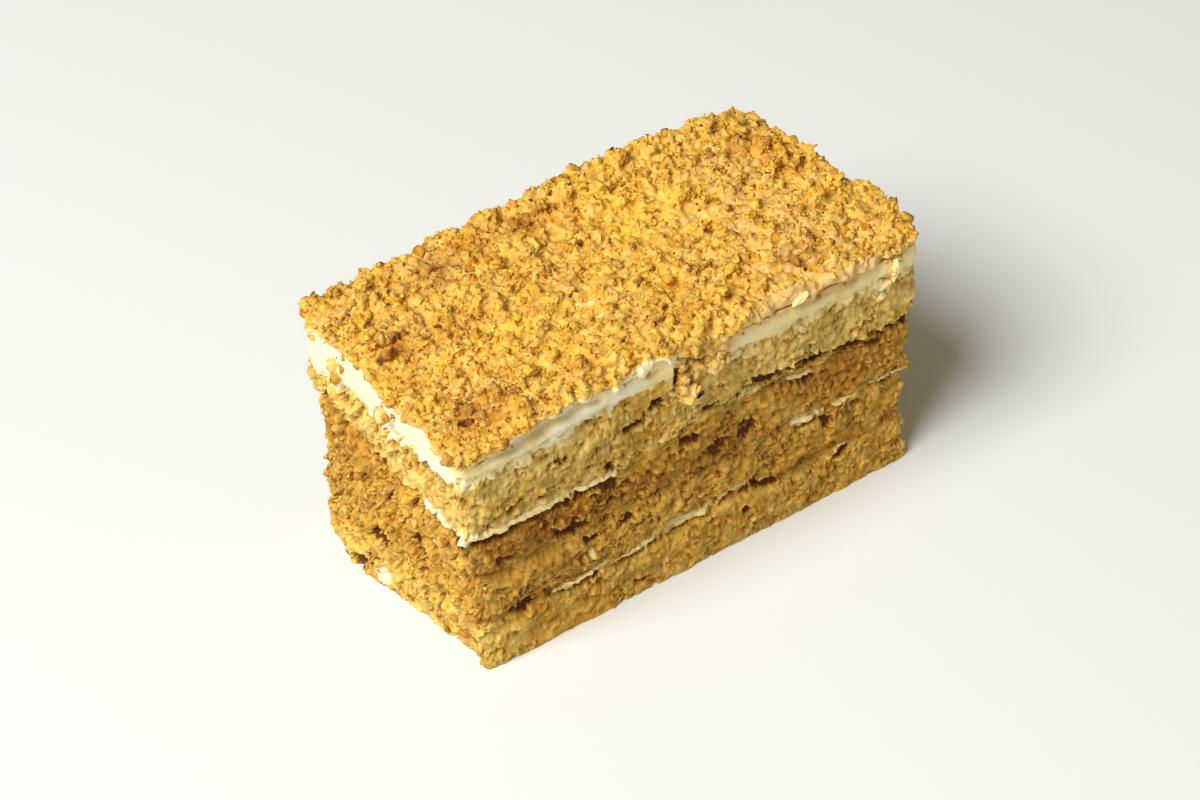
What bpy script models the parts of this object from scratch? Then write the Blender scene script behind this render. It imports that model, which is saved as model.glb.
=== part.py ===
"""A slice of layered honey cake, cut square from a large sheet.

Four honey sponges lie on each other with a thin seam of cream between each two. A thick
coat of cream covers the top sponge, and golden crumbs with walnut bits cover the cream.
The slice stands on z = 0. Its long cut face looks towards -Y and a short cut face
towards -X. Sizes here are in millimetres, and finish_mesh turns them into metres.
"""

import math
import random
from collections import namedtuple

import bmesh
import bpy
from mathutils import Euler, Vector, noise

MM = 0.001
COLLECTION = "honey_cake_slice"

# The slice's plan, and the even steps that go round it
LENGTH = 100.0
WIDTH = 51.0
LONG_STEPS = 30
SHORT_STEPS = 14
STEPS = 2 * (LONG_STEPS + SHORT_STEPS)

# Neighbouring layers keep this gap, half of it on each side of the line where they meet
GAP = 0.3

# A line goes round the slice where two layers meet: its mean height, how far it lies in
# from the full plan, its corner radius, and the swells that lift or lower it
Line = namedtuple("Line", "height inset corner swells")

# A swell's middle in plan, how far it reaches, and how far it lifts the line
LOWER_SWELLS = ((8, -25, 16, 2.6), (22, -25, 8, -1.8), (-30, 25, 14, 1.2))
MIDDLE_SWELLS = ((-47, -25, 6, -1.2), (30, 25, 15, -1.4), (-20, 25, 10, 0.9))
UPPER_SWELLS = ((16, -25, 18, 1.6), (48, -18, 10, 1.4), (-50, 18, 16, 1.3), (20, 25, 14, -1.2))
CREAM_FOOT_SWELLS = ((-50, 22, 20, -4.6), (-50, -4, 13, -2.4), (-17, -25, 8, 1.2), (20, -25, 9, -1.0))
CREAM_CROWN_SWELLS = (
    (-50, 27, 9, -1.4),
    (-48, -25, 9, -2.0),
    (-24, -25, 9, 1.2),
    (-6, -26, 5, 1.8),
    (1, -26, 4.5, -3.2),
    (50, 25, 9, -1.5),
)
CRUMB_SWELLS = (
    (-50, 0, 13, -2.0),
    (52, 0, 9, -1.2),
    (-12, 26, 8, 1.6),
    (6, 26, 9, 3.4),
    (24, 26, 9, 3.2),
    (37, 26, 7, 1.6),
    (52, 23, 9, -3.2),
    (-47, -25, 9, -2.0),
    (-6, -26, 7, 0.8),
)

LINES = {
    "foot": Line(0.0, 0.1, 1.2, ()),
    "lower_foot": Line(10.2, 0.5, 1.6, LOWER_SWELLS),
    "lower_crown": Line(11.4, 0.5, 1.6, LOWER_SWELLS),
    "middle_foot": Line(21.3, 0.7, 1.6, MIDDLE_SWELLS),
    "middle_crown": Line(22.3, 0.7, 1.6, MIDDLE_SWELLS),
    "upper_foot": Line(31.4, 0.6, 1.8, UPPER_SWELLS),
    "upper_crown": Line(32.9, 0.2, 1.8, UPPER_SWELLS),
    "cream_foot": Line(46.6, 0.2, 2.2, CREAM_FOOT_SWELLS),
    "cream_crown": Line(51.0, 0.3, 3.2, CREAM_CROWN_SWELLS),
}

# A layer between two lines: how far its wall stands out from the full plan, the depth and
# the length of the crags in it, the heights of its rings as shares, and its finish
Layer = namedtuple("Layer", "name below above stand_out crag crag_length rings colour roughness")

SPONGE_RINGS = (0, 0.12, 0.5, 0.88, 1)
FOOT_RINGS = (0, 0.1, 0.37, 0.64, 0.9, 1)
TALL_RINGS = (0, 0.07, 0.28, 0.5, 0.72, 0.93, 1)
SEAM_RINGS = (0, 0.5, 1)
COAT_RINGS = (0, 0.15, 0.5, 0.85, 1)
CREAM = (246, 236, 196)
PALE_SPONGE = (212, 176, 108)
DARK_SPONGE = (190, 136, 58)
FOOT_SPONGE = (206, 158, 80)
CRUMB = (226, 170, 72)

LAYERS = (
    Layer("sponge_base", "foot", "lower_foot", 0.0, 1.1, 4.5, FOOT_RINGS, FOOT_SPONGE, 0.9),
    Layer("cream_seam_lower", "lower_foot", "lower_crown", -0.3, 0.2, 6, SEAM_RINGS, CREAM, 0.5),
    Layer("sponge_lower", "lower_crown", "middle_foot", -0.2, 1.4, 4.5, SPONGE_RINGS, DARK_SPONGE, 0.9),
    Layer("cream_seam_middle", "middle_foot", "middle_crown", -0.5, 0.2, 6, SEAM_RINGS, CREAM, 0.5),
    Layer("sponge_middle", "middle_crown", "upper_foot", -0.4, 1.4, 4.5, SPONGE_RINGS, DARK_SPONGE, 0.9),
    Layer("cream_seam_upper", "upper_foot", "upper_crown", 0.0, 0.2, 6, SEAM_RINGS, CREAM, 0.5),
    Layer("sponge_upper", "upper_crown", "cream_foot", 0.0, 0.8, 5, TALL_RINGS, PALE_SPONGE, 0.9),
    Layer("cream_top", "cream_foot", "cream_crown", 0.2, 0.2, 9, COAT_RINGS, CREAM, 0.45),
)
CRAG_SHIFT = 9.0
FINE_CRAG = 0.5
FINE_CRAG_SCALE = 2.3

# The knife left the long faces calmer than the torn ends
LONG_FACE_CALM = 0.45

# Every line ripples a little, and the plan wanders in and out
RIPPLE = 0.35
RIPPLE_LENGTH = 14.0
WANDER = 0.35
WANDER_LENGTH = 11.0

# The soft body leans in at the foot of its left front corner
LEAN = 4.2
LEAN_HEIGHT = 33.0
LEAN_REACH = 30.0

# Bulges of the left and the right end: middle in y and z, reach, rise
LEFT_BULGES = ((11.0, 4.0, 7.0, 2.8), (22.0, 44.0, 10.0, 1.1), (25.0, 37.0, 3.0, 1.6), (25.0, 13.5, 3.5, 1.0))
RIGHT_BULGES = ((-20.0, 42.0, 17.0, 1.3),)

# The right end is pinched in over its foot
PINCH = 2.6
PINCH_HEIGHT = 12.0
PINCH_REACH = 8.0

# The crumb topping's body: rings up its wall as (share of its height, inset), then the
# insets of the rings that close in over its top
CRUMB_CROWN = 54.0
CRUMB_WALL = ((0.35, -0.5), (0.8, -0.1))
CRUMB_RINGS = (1.3, 6.5, 13.0, 20.0)
CRUMB_BUMP = 1.2
CRUMB_BUMP_LENGTH = 5.5

# The grains on it: round lumps of crumb first, then angular walnut chips
LUMPS = 60
CHIPS = 102
LARGEST_GRAIN = 4.8
SMALLEST_GRAIN = 2.4
GRAIN_INSET = 2.0
GRAIN_CORNER = 6.0
GRAIN_SQUASH = 0.62
GRAIN_JITTER = 0.2
GRAIN_SINK = 0.12
GRAIN_CLEARANCE = 0.5
GRAIN_SEED = 12


def clear_scene():
    for old in list(bpy.data.objects):
        bpy.data.objects.remove(old, do_unlink=True)


def linear(red, green, blue):
    """A colour as a screen shows it, 0 to 255, as the linear values that a shader takes."""
    return tuple((value / 255.0) ** 2.2 for value in (red, green, blue)) + (1.0,)


def bell(distance, reach):
    return math.exp(-((distance / reach) ** 2))


def swell_at(swells, x, y):
    return sum(rise * bell(math.hypot(x - mid_x, y - mid_y), reach) for mid_x, mid_y, reach, rise in swells)


def sharp_walk(step):
    """A point on the sharp rectangle, a number of even steps on from the middle of its +X side."""
    x, y = LENGTH / 2, WIDTH / 2
    corners = (Vector((x, y, 0)), Vector((-x, y, 0)), Vector((-x, -y, 0)), Vector((x, -y, 0)))
    counts = (SHORT_STEPS, LONG_STEPS, SHORT_STEPS, LONG_STEPS)
    along = (step + SHORT_STEPS / 2) % STEPS
    side = 0
    while along > counts[side]:
        along -= counts[side]
        side += 1
    return corners[side - 1].lerp(corners[side], along / counts[side])


def plan_point(step, inset, corner):
    """A point of the rounded outline, drawn in by the inset, and the outward direction there."""
    half_x, half_y = LENGTH / 2 - inset, WIDTH / 2 - inset
    sharp = sharp_walk(step)
    sharp = Vector((sharp.x * half_x / (LENGTH / 2), sharp.y * half_y / (WIDTH / 2), 0))
    radius = min(corner, 0.9 * half_y)
    middle_x = max(radius - half_x, min(half_x - radius, sharp.x))
    middle_y = max(radius - half_y, min(half_y - radius, sharp.y))
    middle = Vector((middle_x, middle_y, 0))
    outward = (sharp - middle).normalized()
    return middle + outward * radius, outward


def bulge_at(bulges, place):
    return sum(rise * bell(math.hypot(place.y - y, place.z - z), reach) for y, z, reach, rise in bulges)


def body_shift(place, outward):
    """How far the soft body stands out from its plan: it leans, bulges and is pinched at its ends."""
    left = max(0.0, -outward.x)
    right = max(0.0, outward.x)
    from_front = place.y + WIDTH / 2
    lean = LEAN * max(0.0, 1 - place.z / LEAN_HEIGHT) * max(0.0, 1 - from_front / LEAN_REACH)
    pinch = PINCH * bell(place.z - PINCH_HEIGHT, PINCH_REACH)
    return left * (bulge_at(LEFT_BULGES, place) - lean) + right * (bulge_at(RIGHT_BULGES, place) - pinch)


def line_level(line, x, y):
    """The height of the surface that a line bounds, at a place of the plan. The foot is flat."""
    if not line.swells:
        return line.height
    shift = line.swells[0][0]
    ripple = RIPPLE * noise.noise(Vector((x / RIPPLE_LENGTH, y / RIPPLE_LENGTH, shift + 0.5)))
    return line.height + swell_at(line.swells, x, y) + ripple


def line_point(line, step):
    """The line's own point at one step of the way round, and the outward direction there."""
    place, outward = plan_point(step, line.inset, line.corner)
    place.z = line_level(line, place.x, place.y)
    wander = WANDER * noise.noise(place / WANDER_LENGTH)
    return place + outward * (wander + body_shift(place, outward)), outward


def half_gap(line):
    return GAP / 2 if line.swells else 0.0


def ring_cylinder(cells):
    """A closed cylinder with a fan of triangles at each end and even rings up its wall."""
    bm = bmesh.new()
    bmesh.ops.create_cone(bm, cap_ends=True, cap_tris=True, segments=STEPS, radius1=1, radius2=1, depth=1)
    upright = [edge for edge in bm.edges if abs(edge.verts[0].co.z - edge.verts[1].co.z) > 0.5]
    bmesh.ops.subdivide_edges(bm, edges=upright, cuts=cells - 1)
    return bm


def ring_and_step(vert, cells):
    """Which ring of the cylinder a vertex is on, and its step round. A fan's middle has no step."""
    ring = round((vert.co.z + 0.5) * cells)
    if math.hypot(vert.co.x, vert.co.y) < 0.5:
        return ring, None
    angle = math.atan2(vert.co.y, vert.co.x)
    return ring, round(angle / math.tau * STEPS) % STEPS


def arch(share):
    """How much of a wall's own relief shows at a share of its height: none where layers meet."""
    return 1 - abs(2 * share - 1) ** 6


def wall_point(layer, step, share):
    """A point of a layer's wall, a share of the way up from the line below it to the line above."""
    below, above = LINES[layer.below], LINES[layer.above]
    low, outward = line_point(below, step)
    high, _ = line_point(above, step)
    low.z += half_gap(below)
    high.z -= half_gap(above)
    place = low.lerp(high, share)
    inset = below.inset * (1 - share) + above.inset * share
    crag = noise.noise(place / layer.crag_length + Vector((0, 0, CRAG_SHIFT)))
    crag += FINE_CRAG * noise.noise(place * FINE_CRAG_SCALE / layer.crag_length)
    crag *= 1 - LONG_FACE_CALM * abs(outward.y)
    return place + outward * arch(share) * (inset + layer.stand_out + layer.crag * crag)


def layer_mesh(layer):
    """A slab: rings of wall points, closed by a fan on the surface that each of its lines bounds."""
    below, above = LINES[layer.below], LINES[layer.above]
    cells = len(layer.rings) - 1
    bm = ring_cylinder(cells)
    for vert in bm.verts:
        ring, step = ring_and_step(vert, cells)
        if step is not None:
            vert.co = wall_point(layer, step, layer.rings[ring])
        elif ring == 0:
            vert.co = Vector((0, 0, line_level(below, 0, 0) + half_gap(below)))
        else:
            vert.co = Vector((0, 0, line_level(above, 0, 0) - half_gap(above)))
    return bm


def crumb_top(x, y):
    """The height of the topping's body. Its bumps fade towards the middle, where the fan is."""
    bump = noise.noise(Vector((x, y, CRUMB_CROWN)) / CRUMB_BUMP_LENGTH)
    fade = min(1.0, 2 * abs(y) / WIDTH + 2 * max(0.0, abs(x) - WIDTH / 2) / LENGTH)
    return CRUMB_CROWN + swell_at(CRUMB_SWELLS, x, y) + CRUMB_BUMP * bump * fade


def crumb_wall_point(step, share, inset):
    """A point of the topping's rough wall, a share of the way from the cream to the top."""
    cream = LINES["cream_crown"]
    place, outward = plan_point(step, inset, cream.corner)
    low = line_level(cream, place.x, place.y) + half_gap(cream)
    place.z = low + (crumb_top(place.x, place.y) - low) * share
    relief = CRUMB_BUMP * noise.noise(place / CRUMB_BUMP_LENGTH)
    return place + outward * (relief + body_shift(place, outward))


def crumb_ring_point(step, inset):
    """A point on the topping's top, on a ring drawn in from its edge."""
    place, outward = plan_point(step, inset, LINES["cream_crown"].corner)
    place += outward * WANDER * noise.noise(place / WANDER_LENGTH)
    place.z = crumb_top(place.x, place.y)
    return place


def crumb_body():
    """The topping without grains: a wall up from the cream, then rings that close in over the top."""
    cream = LINES["cream_crown"]
    cells = len(CRUMB_WALL) + len(CRUMB_RINGS)
    bm = ring_cylinder(cells)
    for vert in bm.verts:
        ring, step = ring_and_step(vert, cells)
        if step is None and ring == 0:
            vert.co = Vector((0, 0, line_level(cream, 0, 0) + half_gap(cream)))
        elif step is None:
            vert.co = Vector((0, 0, crumb_top(0, 0)))
        elif ring == 0:
            vert.co = line_point(cream, step)[0] + Vector((0, 0, half_gap(cream)))
        elif ring <= len(CRUMB_WALL):
            vert.co = crumb_wall_point(step, *CRUMB_WALL[ring - 1])
        else:
            vert.co = crumb_ring_point(step, CRUMB_RINGS[ring - 1 - len(CRUMB_WALL)])
    return bm


def cream_surface(x, y):
    """The height of the cream's top inside its rim, where a fan of spokes spans it."""
    cream = LINES["cream_crown"]
    middle = line_level(cream, 0, 0)
    spoke = Vector((x, y))
    rims = [line_point(cream, step)[0] for step in range(STEPS)]
    rim = min(rims, key=lambda place: spoke.angle(place.xy, 0.0))
    return middle + (rim.z - middle) * spoke.length / rim.xy.length


def radical_inverse(index, base):
    """The fraction that an index gives in a number base. Such fractions are evenly spread."""
    fraction, scale = 0.0, 1.0
    while index:
        scale /= base
        fraction += scale * (index % base)
        index //= base
    return fraction


def grain_places():
    """Even places over the top, in the order in which the grains lie down, largest first."""
    places = []
    index = 0
    while len(places) < LUMPS + CHIPS:
        index += 1
        x = (radical_inverse(index, 2) - 0.5) * (LENGTH - 2 * GRAIN_INSET)
        y = (radical_inverse(index, 3) - 0.5) * (WIDTH - 2 * GRAIN_INSET)
        past_x = max(0.0, abs(x) - LENGTH / 2 + GRAIN_CORNER)
        past_y = max(0.0, abs(y) - WIDTH / 2 + GRAIN_CORNER)
        if math.hypot(past_x, past_y) < GRAIN_CORNER - GRAIN_INSET:
            places.append((x, y))
    return places


def grain_object(number, x, y, size, dice):
    """A round lump of crumb or an angular walnut chip, sunk into the body but clear of the cream."""
    bm = bmesh.new()
    if number < LUMPS:
        bmesh.ops.create_icosphere(bm, subdivisions=1, radius=size / 2)
    else:
        bmesh.ops.create_cube(bm, size=size / math.sqrt(2))
    squash = Vector((1.0, dice.uniform(GRAIN_SQUASH, 1), dice.uniform(GRAIN_SQUASH, 1)))
    turn = Euler([dice.uniform(0, math.tau) for _ in range(3)]).to_matrix()
    middle = Vector((x, y, crumb_top(x, y) + dice.uniform(-GRAIN_SINK, GRAIN_SINK) * size))
    lowest = cream_surface(x, y) + GRAIN_CLEARANCE
    for vert in bm.verts:
        uneven = 1 + dice.uniform(-GRAIN_JITTER, GRAIN_JITTER)
        vert.co = turn @ (vert.co * squash * uneven) + middle
        vert.co.z = max(vert.co.z, lowest)
    return finish_mesh(bm, f"grain_{number}")


def crumb_grains():
    """All the grains, each an object in a collection of their own."""
    grains = bpy.data.collections.new("grains")
    dice = random.Random(GRAIN_SEED)
    places = grain_places()
    for number, (x, y) in enumerate(places):
        size = LARGEST_GRAIN + (SMALLEST_GRAIN - LARGEST_GRAIN) * math.sqrt(number / len(places))
        grains.objects.link(grain_object(number, x, y, size, dice))
    return grains


def main_body(bm):
    """The faces of the mesh's largest body. Bodies that touch at a point only are two."""
    left = set(bm.faces)
    largest = set()
    while left:
        front = [left.pop()]
        body = set(front)
        while front:
            face = front.pop()
            near = {other for edge in face.edges for other in edge.link_faces} & left
            left -= near
            body |= near
            front.extend(near)
        largest = max(largest, body, key=len)
    return largest


def fuse(body, grains):
    """Joins the grains to the body, fills what that seals and drops scraps that hang on nothing."""
    bpy.context.scene.collection.children.link(grains)
    union = body.modifiers.new("grains", "BOOLEAN")
    union.operation = "UNION"
    union.operand_type = "COLLECTION"
    union.collection = grains
    # EXACT leaves open edges where grains cross each other
    union.solver = "MANIFOLD"
    joined = bpy.data.meshes.new_from_object(body.evaluated_get(bpy.context.evaluated_depsgraph_get()))
    body.modifiers.clear()
    body.data = joined
    for grain in list(grains.objects):
        bpy.data.objects.remove(grain, do_unlink=True)
    bpy.data.collections.remove(grains)
    bm = bmesh.new()
    bm.from_mesh(joined)
    kept = main_body(bm)
    bmesh.ops.delete(bm, geom=[face for face in bm.faces if face not in kept], context="FACES")
    bm.to_mesh(joined)
    bm.free()


def finish_mesh(bm, name):
    """Turns millimetres into metres and the mesh into a named object."""
    bmesh.ops.scale(bm, vec=(MM, MM, MM), verts=bm.verts)
    bmesh.ops.recalc_face_normals(bm, faces=bm.faces)
    mesh = bpy.data.meshes.new(name)
    bm.to_mesh(mesh)
    bm.free()
    return bpy.data.objects.new(name, mesh)


def finish_part(part, colour, roughness, root):
    """Gives a part its material, its collection and its place under the slice's own empty."""
    material = bpy.data.materials.new(part.name)
    material.use_nodes = True
    shader = material.node_tree.nodes["Principled BSDF"]
    shader.inputs["Base Color"].default_value = linear(*colour)
    shader.inputs["Roughness"].default_value = roughness
    shader.inputs["Metallic"].default_value = 0.0
    part.data.materials.clear()
    part.data.materials.append(material)
    part.data.shade_smooth()
    part.data.set_sharp_from_angle(angle=math.radians(50))
    bpy.data.collections[COLLECTION].objects.link(part)
    part.parent = root


def centre_on_origin(root, parts):
    """Moves the slice so that the middle of its box is over the origin."""
    for axis in (0, 1):
        values = [vert.co[axis] for part in parts for vert in part.data.vertices]
        root.location[axis] = -(min(values) + max(values)) / 2


def main():
    clear_scene()
    bpy.context.scene.collection.children.link(bpy.data.collections.new(COLLECTION))
    root = bpy.data.objects.new("slice_origin", None)
    bpy.data.collections[COLLECTION].objects.link(root)
    parts = []
    for layer in LAYERS:
        part = finish_mesh(layer_mesh(layer), layer.name)
        finish_part(part, layer.colour, layer.roughness, root)
        parts.append(part)
    topping = finish_mesh(crumb_body(), "crumb_topping")
    finish_part(topping, CRUMB, 0.85, root)
    fuse(topping, crumb_grains())
    parts.append(topping)
    centre_on_origin(root, parts)


main()
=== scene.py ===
# %% [markdown]
# # A slice of layered honey cake
#
# The real slice was cut square from a large sheet. Four honey sponges lie on each other with a
# thin seam of cream between each two, a thick coat of cream covers them, and golden crumbs with
# walnut bits cover the cream. The frame holds these nine pieces as plain solids at their real
# size. Each step below gives one of them the surface that the real one shows, without moving it.

# %% The frame
import math
from collections import namedtuple
from contextlib import contextmanager

import bmesh
import bpy
import numpy as np
from mathutils import Euler, Matrix, Vector, noise
from mathutils.bvhtree import BVHTree
from mathutils.kdtree import KDTree


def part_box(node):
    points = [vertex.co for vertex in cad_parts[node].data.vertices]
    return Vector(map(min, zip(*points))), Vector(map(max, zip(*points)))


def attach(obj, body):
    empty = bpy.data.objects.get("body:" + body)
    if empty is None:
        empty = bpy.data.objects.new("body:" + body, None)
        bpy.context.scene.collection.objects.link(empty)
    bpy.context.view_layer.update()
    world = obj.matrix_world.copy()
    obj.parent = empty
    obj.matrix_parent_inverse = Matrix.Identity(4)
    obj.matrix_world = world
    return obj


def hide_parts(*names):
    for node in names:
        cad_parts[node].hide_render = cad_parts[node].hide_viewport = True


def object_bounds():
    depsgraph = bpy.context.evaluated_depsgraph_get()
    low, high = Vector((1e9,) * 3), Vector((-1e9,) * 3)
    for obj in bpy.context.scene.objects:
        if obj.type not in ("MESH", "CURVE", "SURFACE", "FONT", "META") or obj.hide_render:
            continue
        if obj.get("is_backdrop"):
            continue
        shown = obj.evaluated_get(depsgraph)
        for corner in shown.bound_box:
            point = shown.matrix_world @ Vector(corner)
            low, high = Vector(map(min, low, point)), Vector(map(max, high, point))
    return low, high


MM = 0.001
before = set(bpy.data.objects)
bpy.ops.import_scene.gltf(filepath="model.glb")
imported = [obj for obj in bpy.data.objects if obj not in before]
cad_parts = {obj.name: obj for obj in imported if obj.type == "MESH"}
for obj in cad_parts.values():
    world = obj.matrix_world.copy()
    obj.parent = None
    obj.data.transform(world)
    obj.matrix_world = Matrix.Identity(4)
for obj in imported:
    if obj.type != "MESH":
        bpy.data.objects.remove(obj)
solid_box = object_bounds()


def shown(lengths):
    """Lengths in mm, short enough to print."""
    return [round(length / MM, 1) for length in lengths]


print("solid box in mm:", [shown(corner) for corner in solid_box])

# %% [markdown]
# ## A closed copy of a solid
#
# Each layer's solid is a wall with a fan of triangles at either end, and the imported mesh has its
# triangles loose. A copy is merged first. The two fan middles, or hubs, are then easy to find,
# because far more edges meet there than anywhere else. They also give the middle of the plan.

# %% Copy and hubs
WELD = 0.001 * MM
HUB_EDGES = 60


def closed_copy(node):
    """The node's mesh as a bmesh with its doubles merged."""
    bm = bmesh.new()
    bm.from_mesh(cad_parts[node].data)
    bmesh.ops.remove_doubles(bm, verts=bm.verts, dist=WELD)
    return bm


def hubs(bm):
    """The middles of the lower and the upper fan."""
    found = [vert for vert in bm.verts if len(vert.link_edges) > HUB_EDGES]
    return sorted(found, key=lambda vert: vert.co.z)


copy = closed_copy("sponge_base")
middle = hubs(copy)[0].co.copy()
copy.free()
print("middle of the plan in mm:", shown(middle))

# %% [markdown]
# ## The camera
#
# The photograph looks down on a corner of the slice with a long lens. Its angles come from the
# slice's own corners. The camera stands back from a point inside the slice along those angles,
# and a small shift puts that point where it is in the picture.

# %% Camera
VIEW_TURN = math.radians(-33.85)
VIEW_RISE = math.radians(40.89)
VIEW_ROLL = math.radians(-2.11)
VIEW_DISTANCE = 600 * MM
VIEW_TARGET = Vector((0, -0.6, 25)) * MM
PICTURE = (1200, 800)
TARGET_PIXEL = (619.7, 389.8)
FOCAL_PIXELS = 3253.5
SENSOR = 36.0


def added(name, data):
    """A new object in the scene, at the origin."""
    made = bpy.data.objects.new(name, data)
    bpy.context.scene.collection.objects.link(made)
    return made


camera = added("camera", bpy.data.cameras.new("camera"))
turned = Euler((math.pi / 2 - VIEW_RISE, 0, VIEW_TURN)).to_matrix() @ Matrix.Rotation(VIEW_ROLL, 3, "Z")
stand = VIEW_TARGET + middle + turned @ Vector((0, 0, VIEW_DISTANCE))
camera.matrix_world = Matrix.Translation(stand) @ turned.to_4x4()
camera.data.sensor_width = SENSOR
camera.data.lens = FOCAL_PIXELS * SENSOR / PICTURE[0]
camera.data.shift_x = (PICTURE[0] / 2 - TARGET_PIXEL[0]) / PICTURE[0]
camera.data.shift_y = (TARGET_PIXEL[1] - PICTURE[1] / 2) / PICTURE[0]
bpy.context.scene.camera = camera
print("lens in mm:", round(camera.data.lens, 1))

# %% [markdown]
# ## A helper for node trees
#
# Every surface here is made by node trees, for its shape and for its colour. Writing them in
# plain bpy takes a line for each node, each value and each link. With this helper one call adds a
# node and fills its inputs, and a sum that is written with outputs of nodes adds the Math nodes
# that work it out. The same words then serve the trees for shape and those for colour.

# %% Wires
class Wire:
    """An output of a node. A sum that is written with it adds the nodes that work it out."""

    def __init__(self, wiring, socket):
        self.wiring = wiring
        self.socket = socket
        self.is_vector = socket.type in ("VECTOR", "RGBA")

    def __add__(self, other):
        return self.wiring.math("ADD", self, other)

    def __sub__(self, other):
        return self.wiring.math("SUBTRACT", self, other)

    def __rsub__(self, other):
        return self.wiring.math("SUBTRACT", other, self)

    def __mul__(self, other):
        return self.wiring.math("MULTIPLY", self, other)

    def __rtruediv__(self, other):
        return self.wiring.math("DIVIDE", other, self)


print("wires ready")

# %% Wiring helper
class Wiring:
    """A node tree that is being wired."""

    def __init__(self, tree):
        self.tree = tree
        self.makes_shape = tree.bl_idname == "GeometryNodeTree"

    def put(self, kind, inputs=None, **settings):
        """Adds a node. An input takes a value, or a wire from another node."""
        made = self.tree.nodes.new(kind)
        for name, value in settings.items():
            setattr(made, name, value)
        self.fill(made, inputs or {})
        return made

    def fill(self, node, inputs):
        for name, value in inputs.items():
            if isinstance(value, Wire):
                self.tree.links.new(value.socket, node.inputs[name])
            else:
                node.inputs[name].default_value = value

    def wire(self, kind, inputs=None, output=0, **settings):
        """Adds a node and gives one of its outputs."""
        return Wire(self, self.put(kind, inputs, **settings).outputs[output])

    def wires(self, node):
        """All outputs of a node, by their names."""
        return {socket.name: Wire(self, socket) for socket in node.outputs}

    def math(self, operation, *values):
        """One step of a sum, worked out on vectors where one of the values is a vector."""
        kind = "ShaderNodeMath"
        if any(value.is_vector if isinstance(value, Wire) else isinstance(value, tuple) for value in values):
            kind = "ShaderNodeVectorMath"
            values = [(value,) * 3 if isinstance(value, float) else value for value in values]
        return self.wire(kind, dict(enumerate(values)), operation=operation)

    def xyz(self, x=0.0, y=0.0, z=0.0):
        return self.wire("ShaderNodeCombineXYZ", {0: x, 1: y, 2: z})

    def place(self):
        """The place on the piece in mm, which is the same for its shape and its colour."""
        if self.makes_shape:
            return self.wire("GeometryNodeInputPosition") * (1 / MM)
        return self.wire("ShaderNodeTexCoord", output="Object") * (1 / MM)

    def read(self, name, kind="FLOAT"):
        """An attribute of the mesh, by its name."""
        if self.makes_shape:
            return self.wire("GeometryNodeInputNamedAttribute", {"Name": name}, data_type=kind)
        return self.wire("ShaderNodeAttribute", output="Fac", attribute_name=name)

    def noise(self, place, scale, detail=2.0, roughness=0.5, output=0):
        """A noise texture. Output 0 is its value, output 1 its colour."""
        inputs = {"Vector": place, "Scale": scale, "Detail": detail, "Roughness": roughness}
        return self.wire("ShaderNodeTexNoise", inputs, output)

    def swing(self, place, scale, detail=2.0, roughness=0.5):
        """Noise that goes up and down from nought."""
        return self.noise(place, scale, detail, roughness) - 0.5

    def step(self, value, start, end, low=0.0, high=1.0):
        """A smooth step from low to high as the value goes from start to end."""
        inputs = {"Value": value, 1: start, 2: end, 3: low, 4: high}
        return self.wire("ShaderNodeMapRange", inputs, interpolation_type="SMOOTHSTEP")

    def between(self, share, first, second):
        """Two numbers mixed by a share."""
        return self.wire("ShaderNodeMix", {0: share, 2: first, 3: second})

    def mix(self, share, first, second, blend="MIX"):
        """Two colours mixed by a share."""
        inputs = {0: share, 6: first, 7: second}
        return self.wire("ShaderNodeMix", inputs, 2, data_type="RGBA", blend_type=blend)


print("wiring helper ready")

# %% Node groups
SOCKET_KINDS = {bool: "Bool", int: "Int", float: "Float", tuple: "Color"}


def new_tree(name, kind, inputs, outputs):
    """The wiring and the inputs of a new group. A socket is given by its usual value or its kind."""
    w = Wiring(bpy.data.node_groups.new(name, kind))
    for way, sockets in (("INPUT", inputs), ("OUTPUT", outputs)):
        for socket, value in sockets.items():
            known = value if isinstance(value, str) else SOCKET_KINDS[type(value)]
            made = w.tree.interface.new_socket(socket, in_out=way, socket_type="NodeSocket" + known)
            if value != known:
                made.default_value = value
    return w, w.wires(w.put("NodeGroupInput"))


print("kinds of sockets:", sorted(SOCKET_KINDS.values()))

# %% [markdown]
# ## Fine walls
#
# The solids have flats about 3 mm long, far too coarse for crumb. Subdividing them would spend
# most faces on the hidden fans. Instead each layer gets a new wall of even cells: rows of points
# run round between its two rims, and each point is pushed outwards until it meets the solid's
# own wall. The new wall so keeps the solid's form, and a running mean takes the flats out of it.

# %% Rims and rays
SAMPLES = 1232
CELL = 0.26 * MM
LAP = 0.16 * MM
PROBE = 6 * MM
ROUND_MEAN = 5
ANGLE_START = 0.03
LEAST_ROWS = 4
Wall = namedtuple("Wall", "rows ends outward")


def rim(hub):
    """The points round a hub, anticlockwise from the middle of the +X side."""
    ring = [edge.other_vert(hub).co.copy() for edge in hub.link_edges]

    def angle(place):
        return (math.atan2(place.y - hub.co.y, place.x - hub.co.x) + ANGLE_START) % math.tau

    return np.array(sorted(ring, key=angle))


def evenly(ring):
    """The closed ring drawn out to an even number of samples."""
    at = np.arange(SAMPLES) * len(ring) / SAMPLES
    index = at.astype(int)
    share = (at - index)[:, None]
    return ring[index] * (1 - share) + ring[(index + 1) % len(ring)] * share


def round_mean(values, reach, axis):
    """The running mean round the slice."""
    return sum(np.roll(values, shift, axis=axis) for shift in range(-reach, reach + 1)) / (2 * reach + 1)


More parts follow.
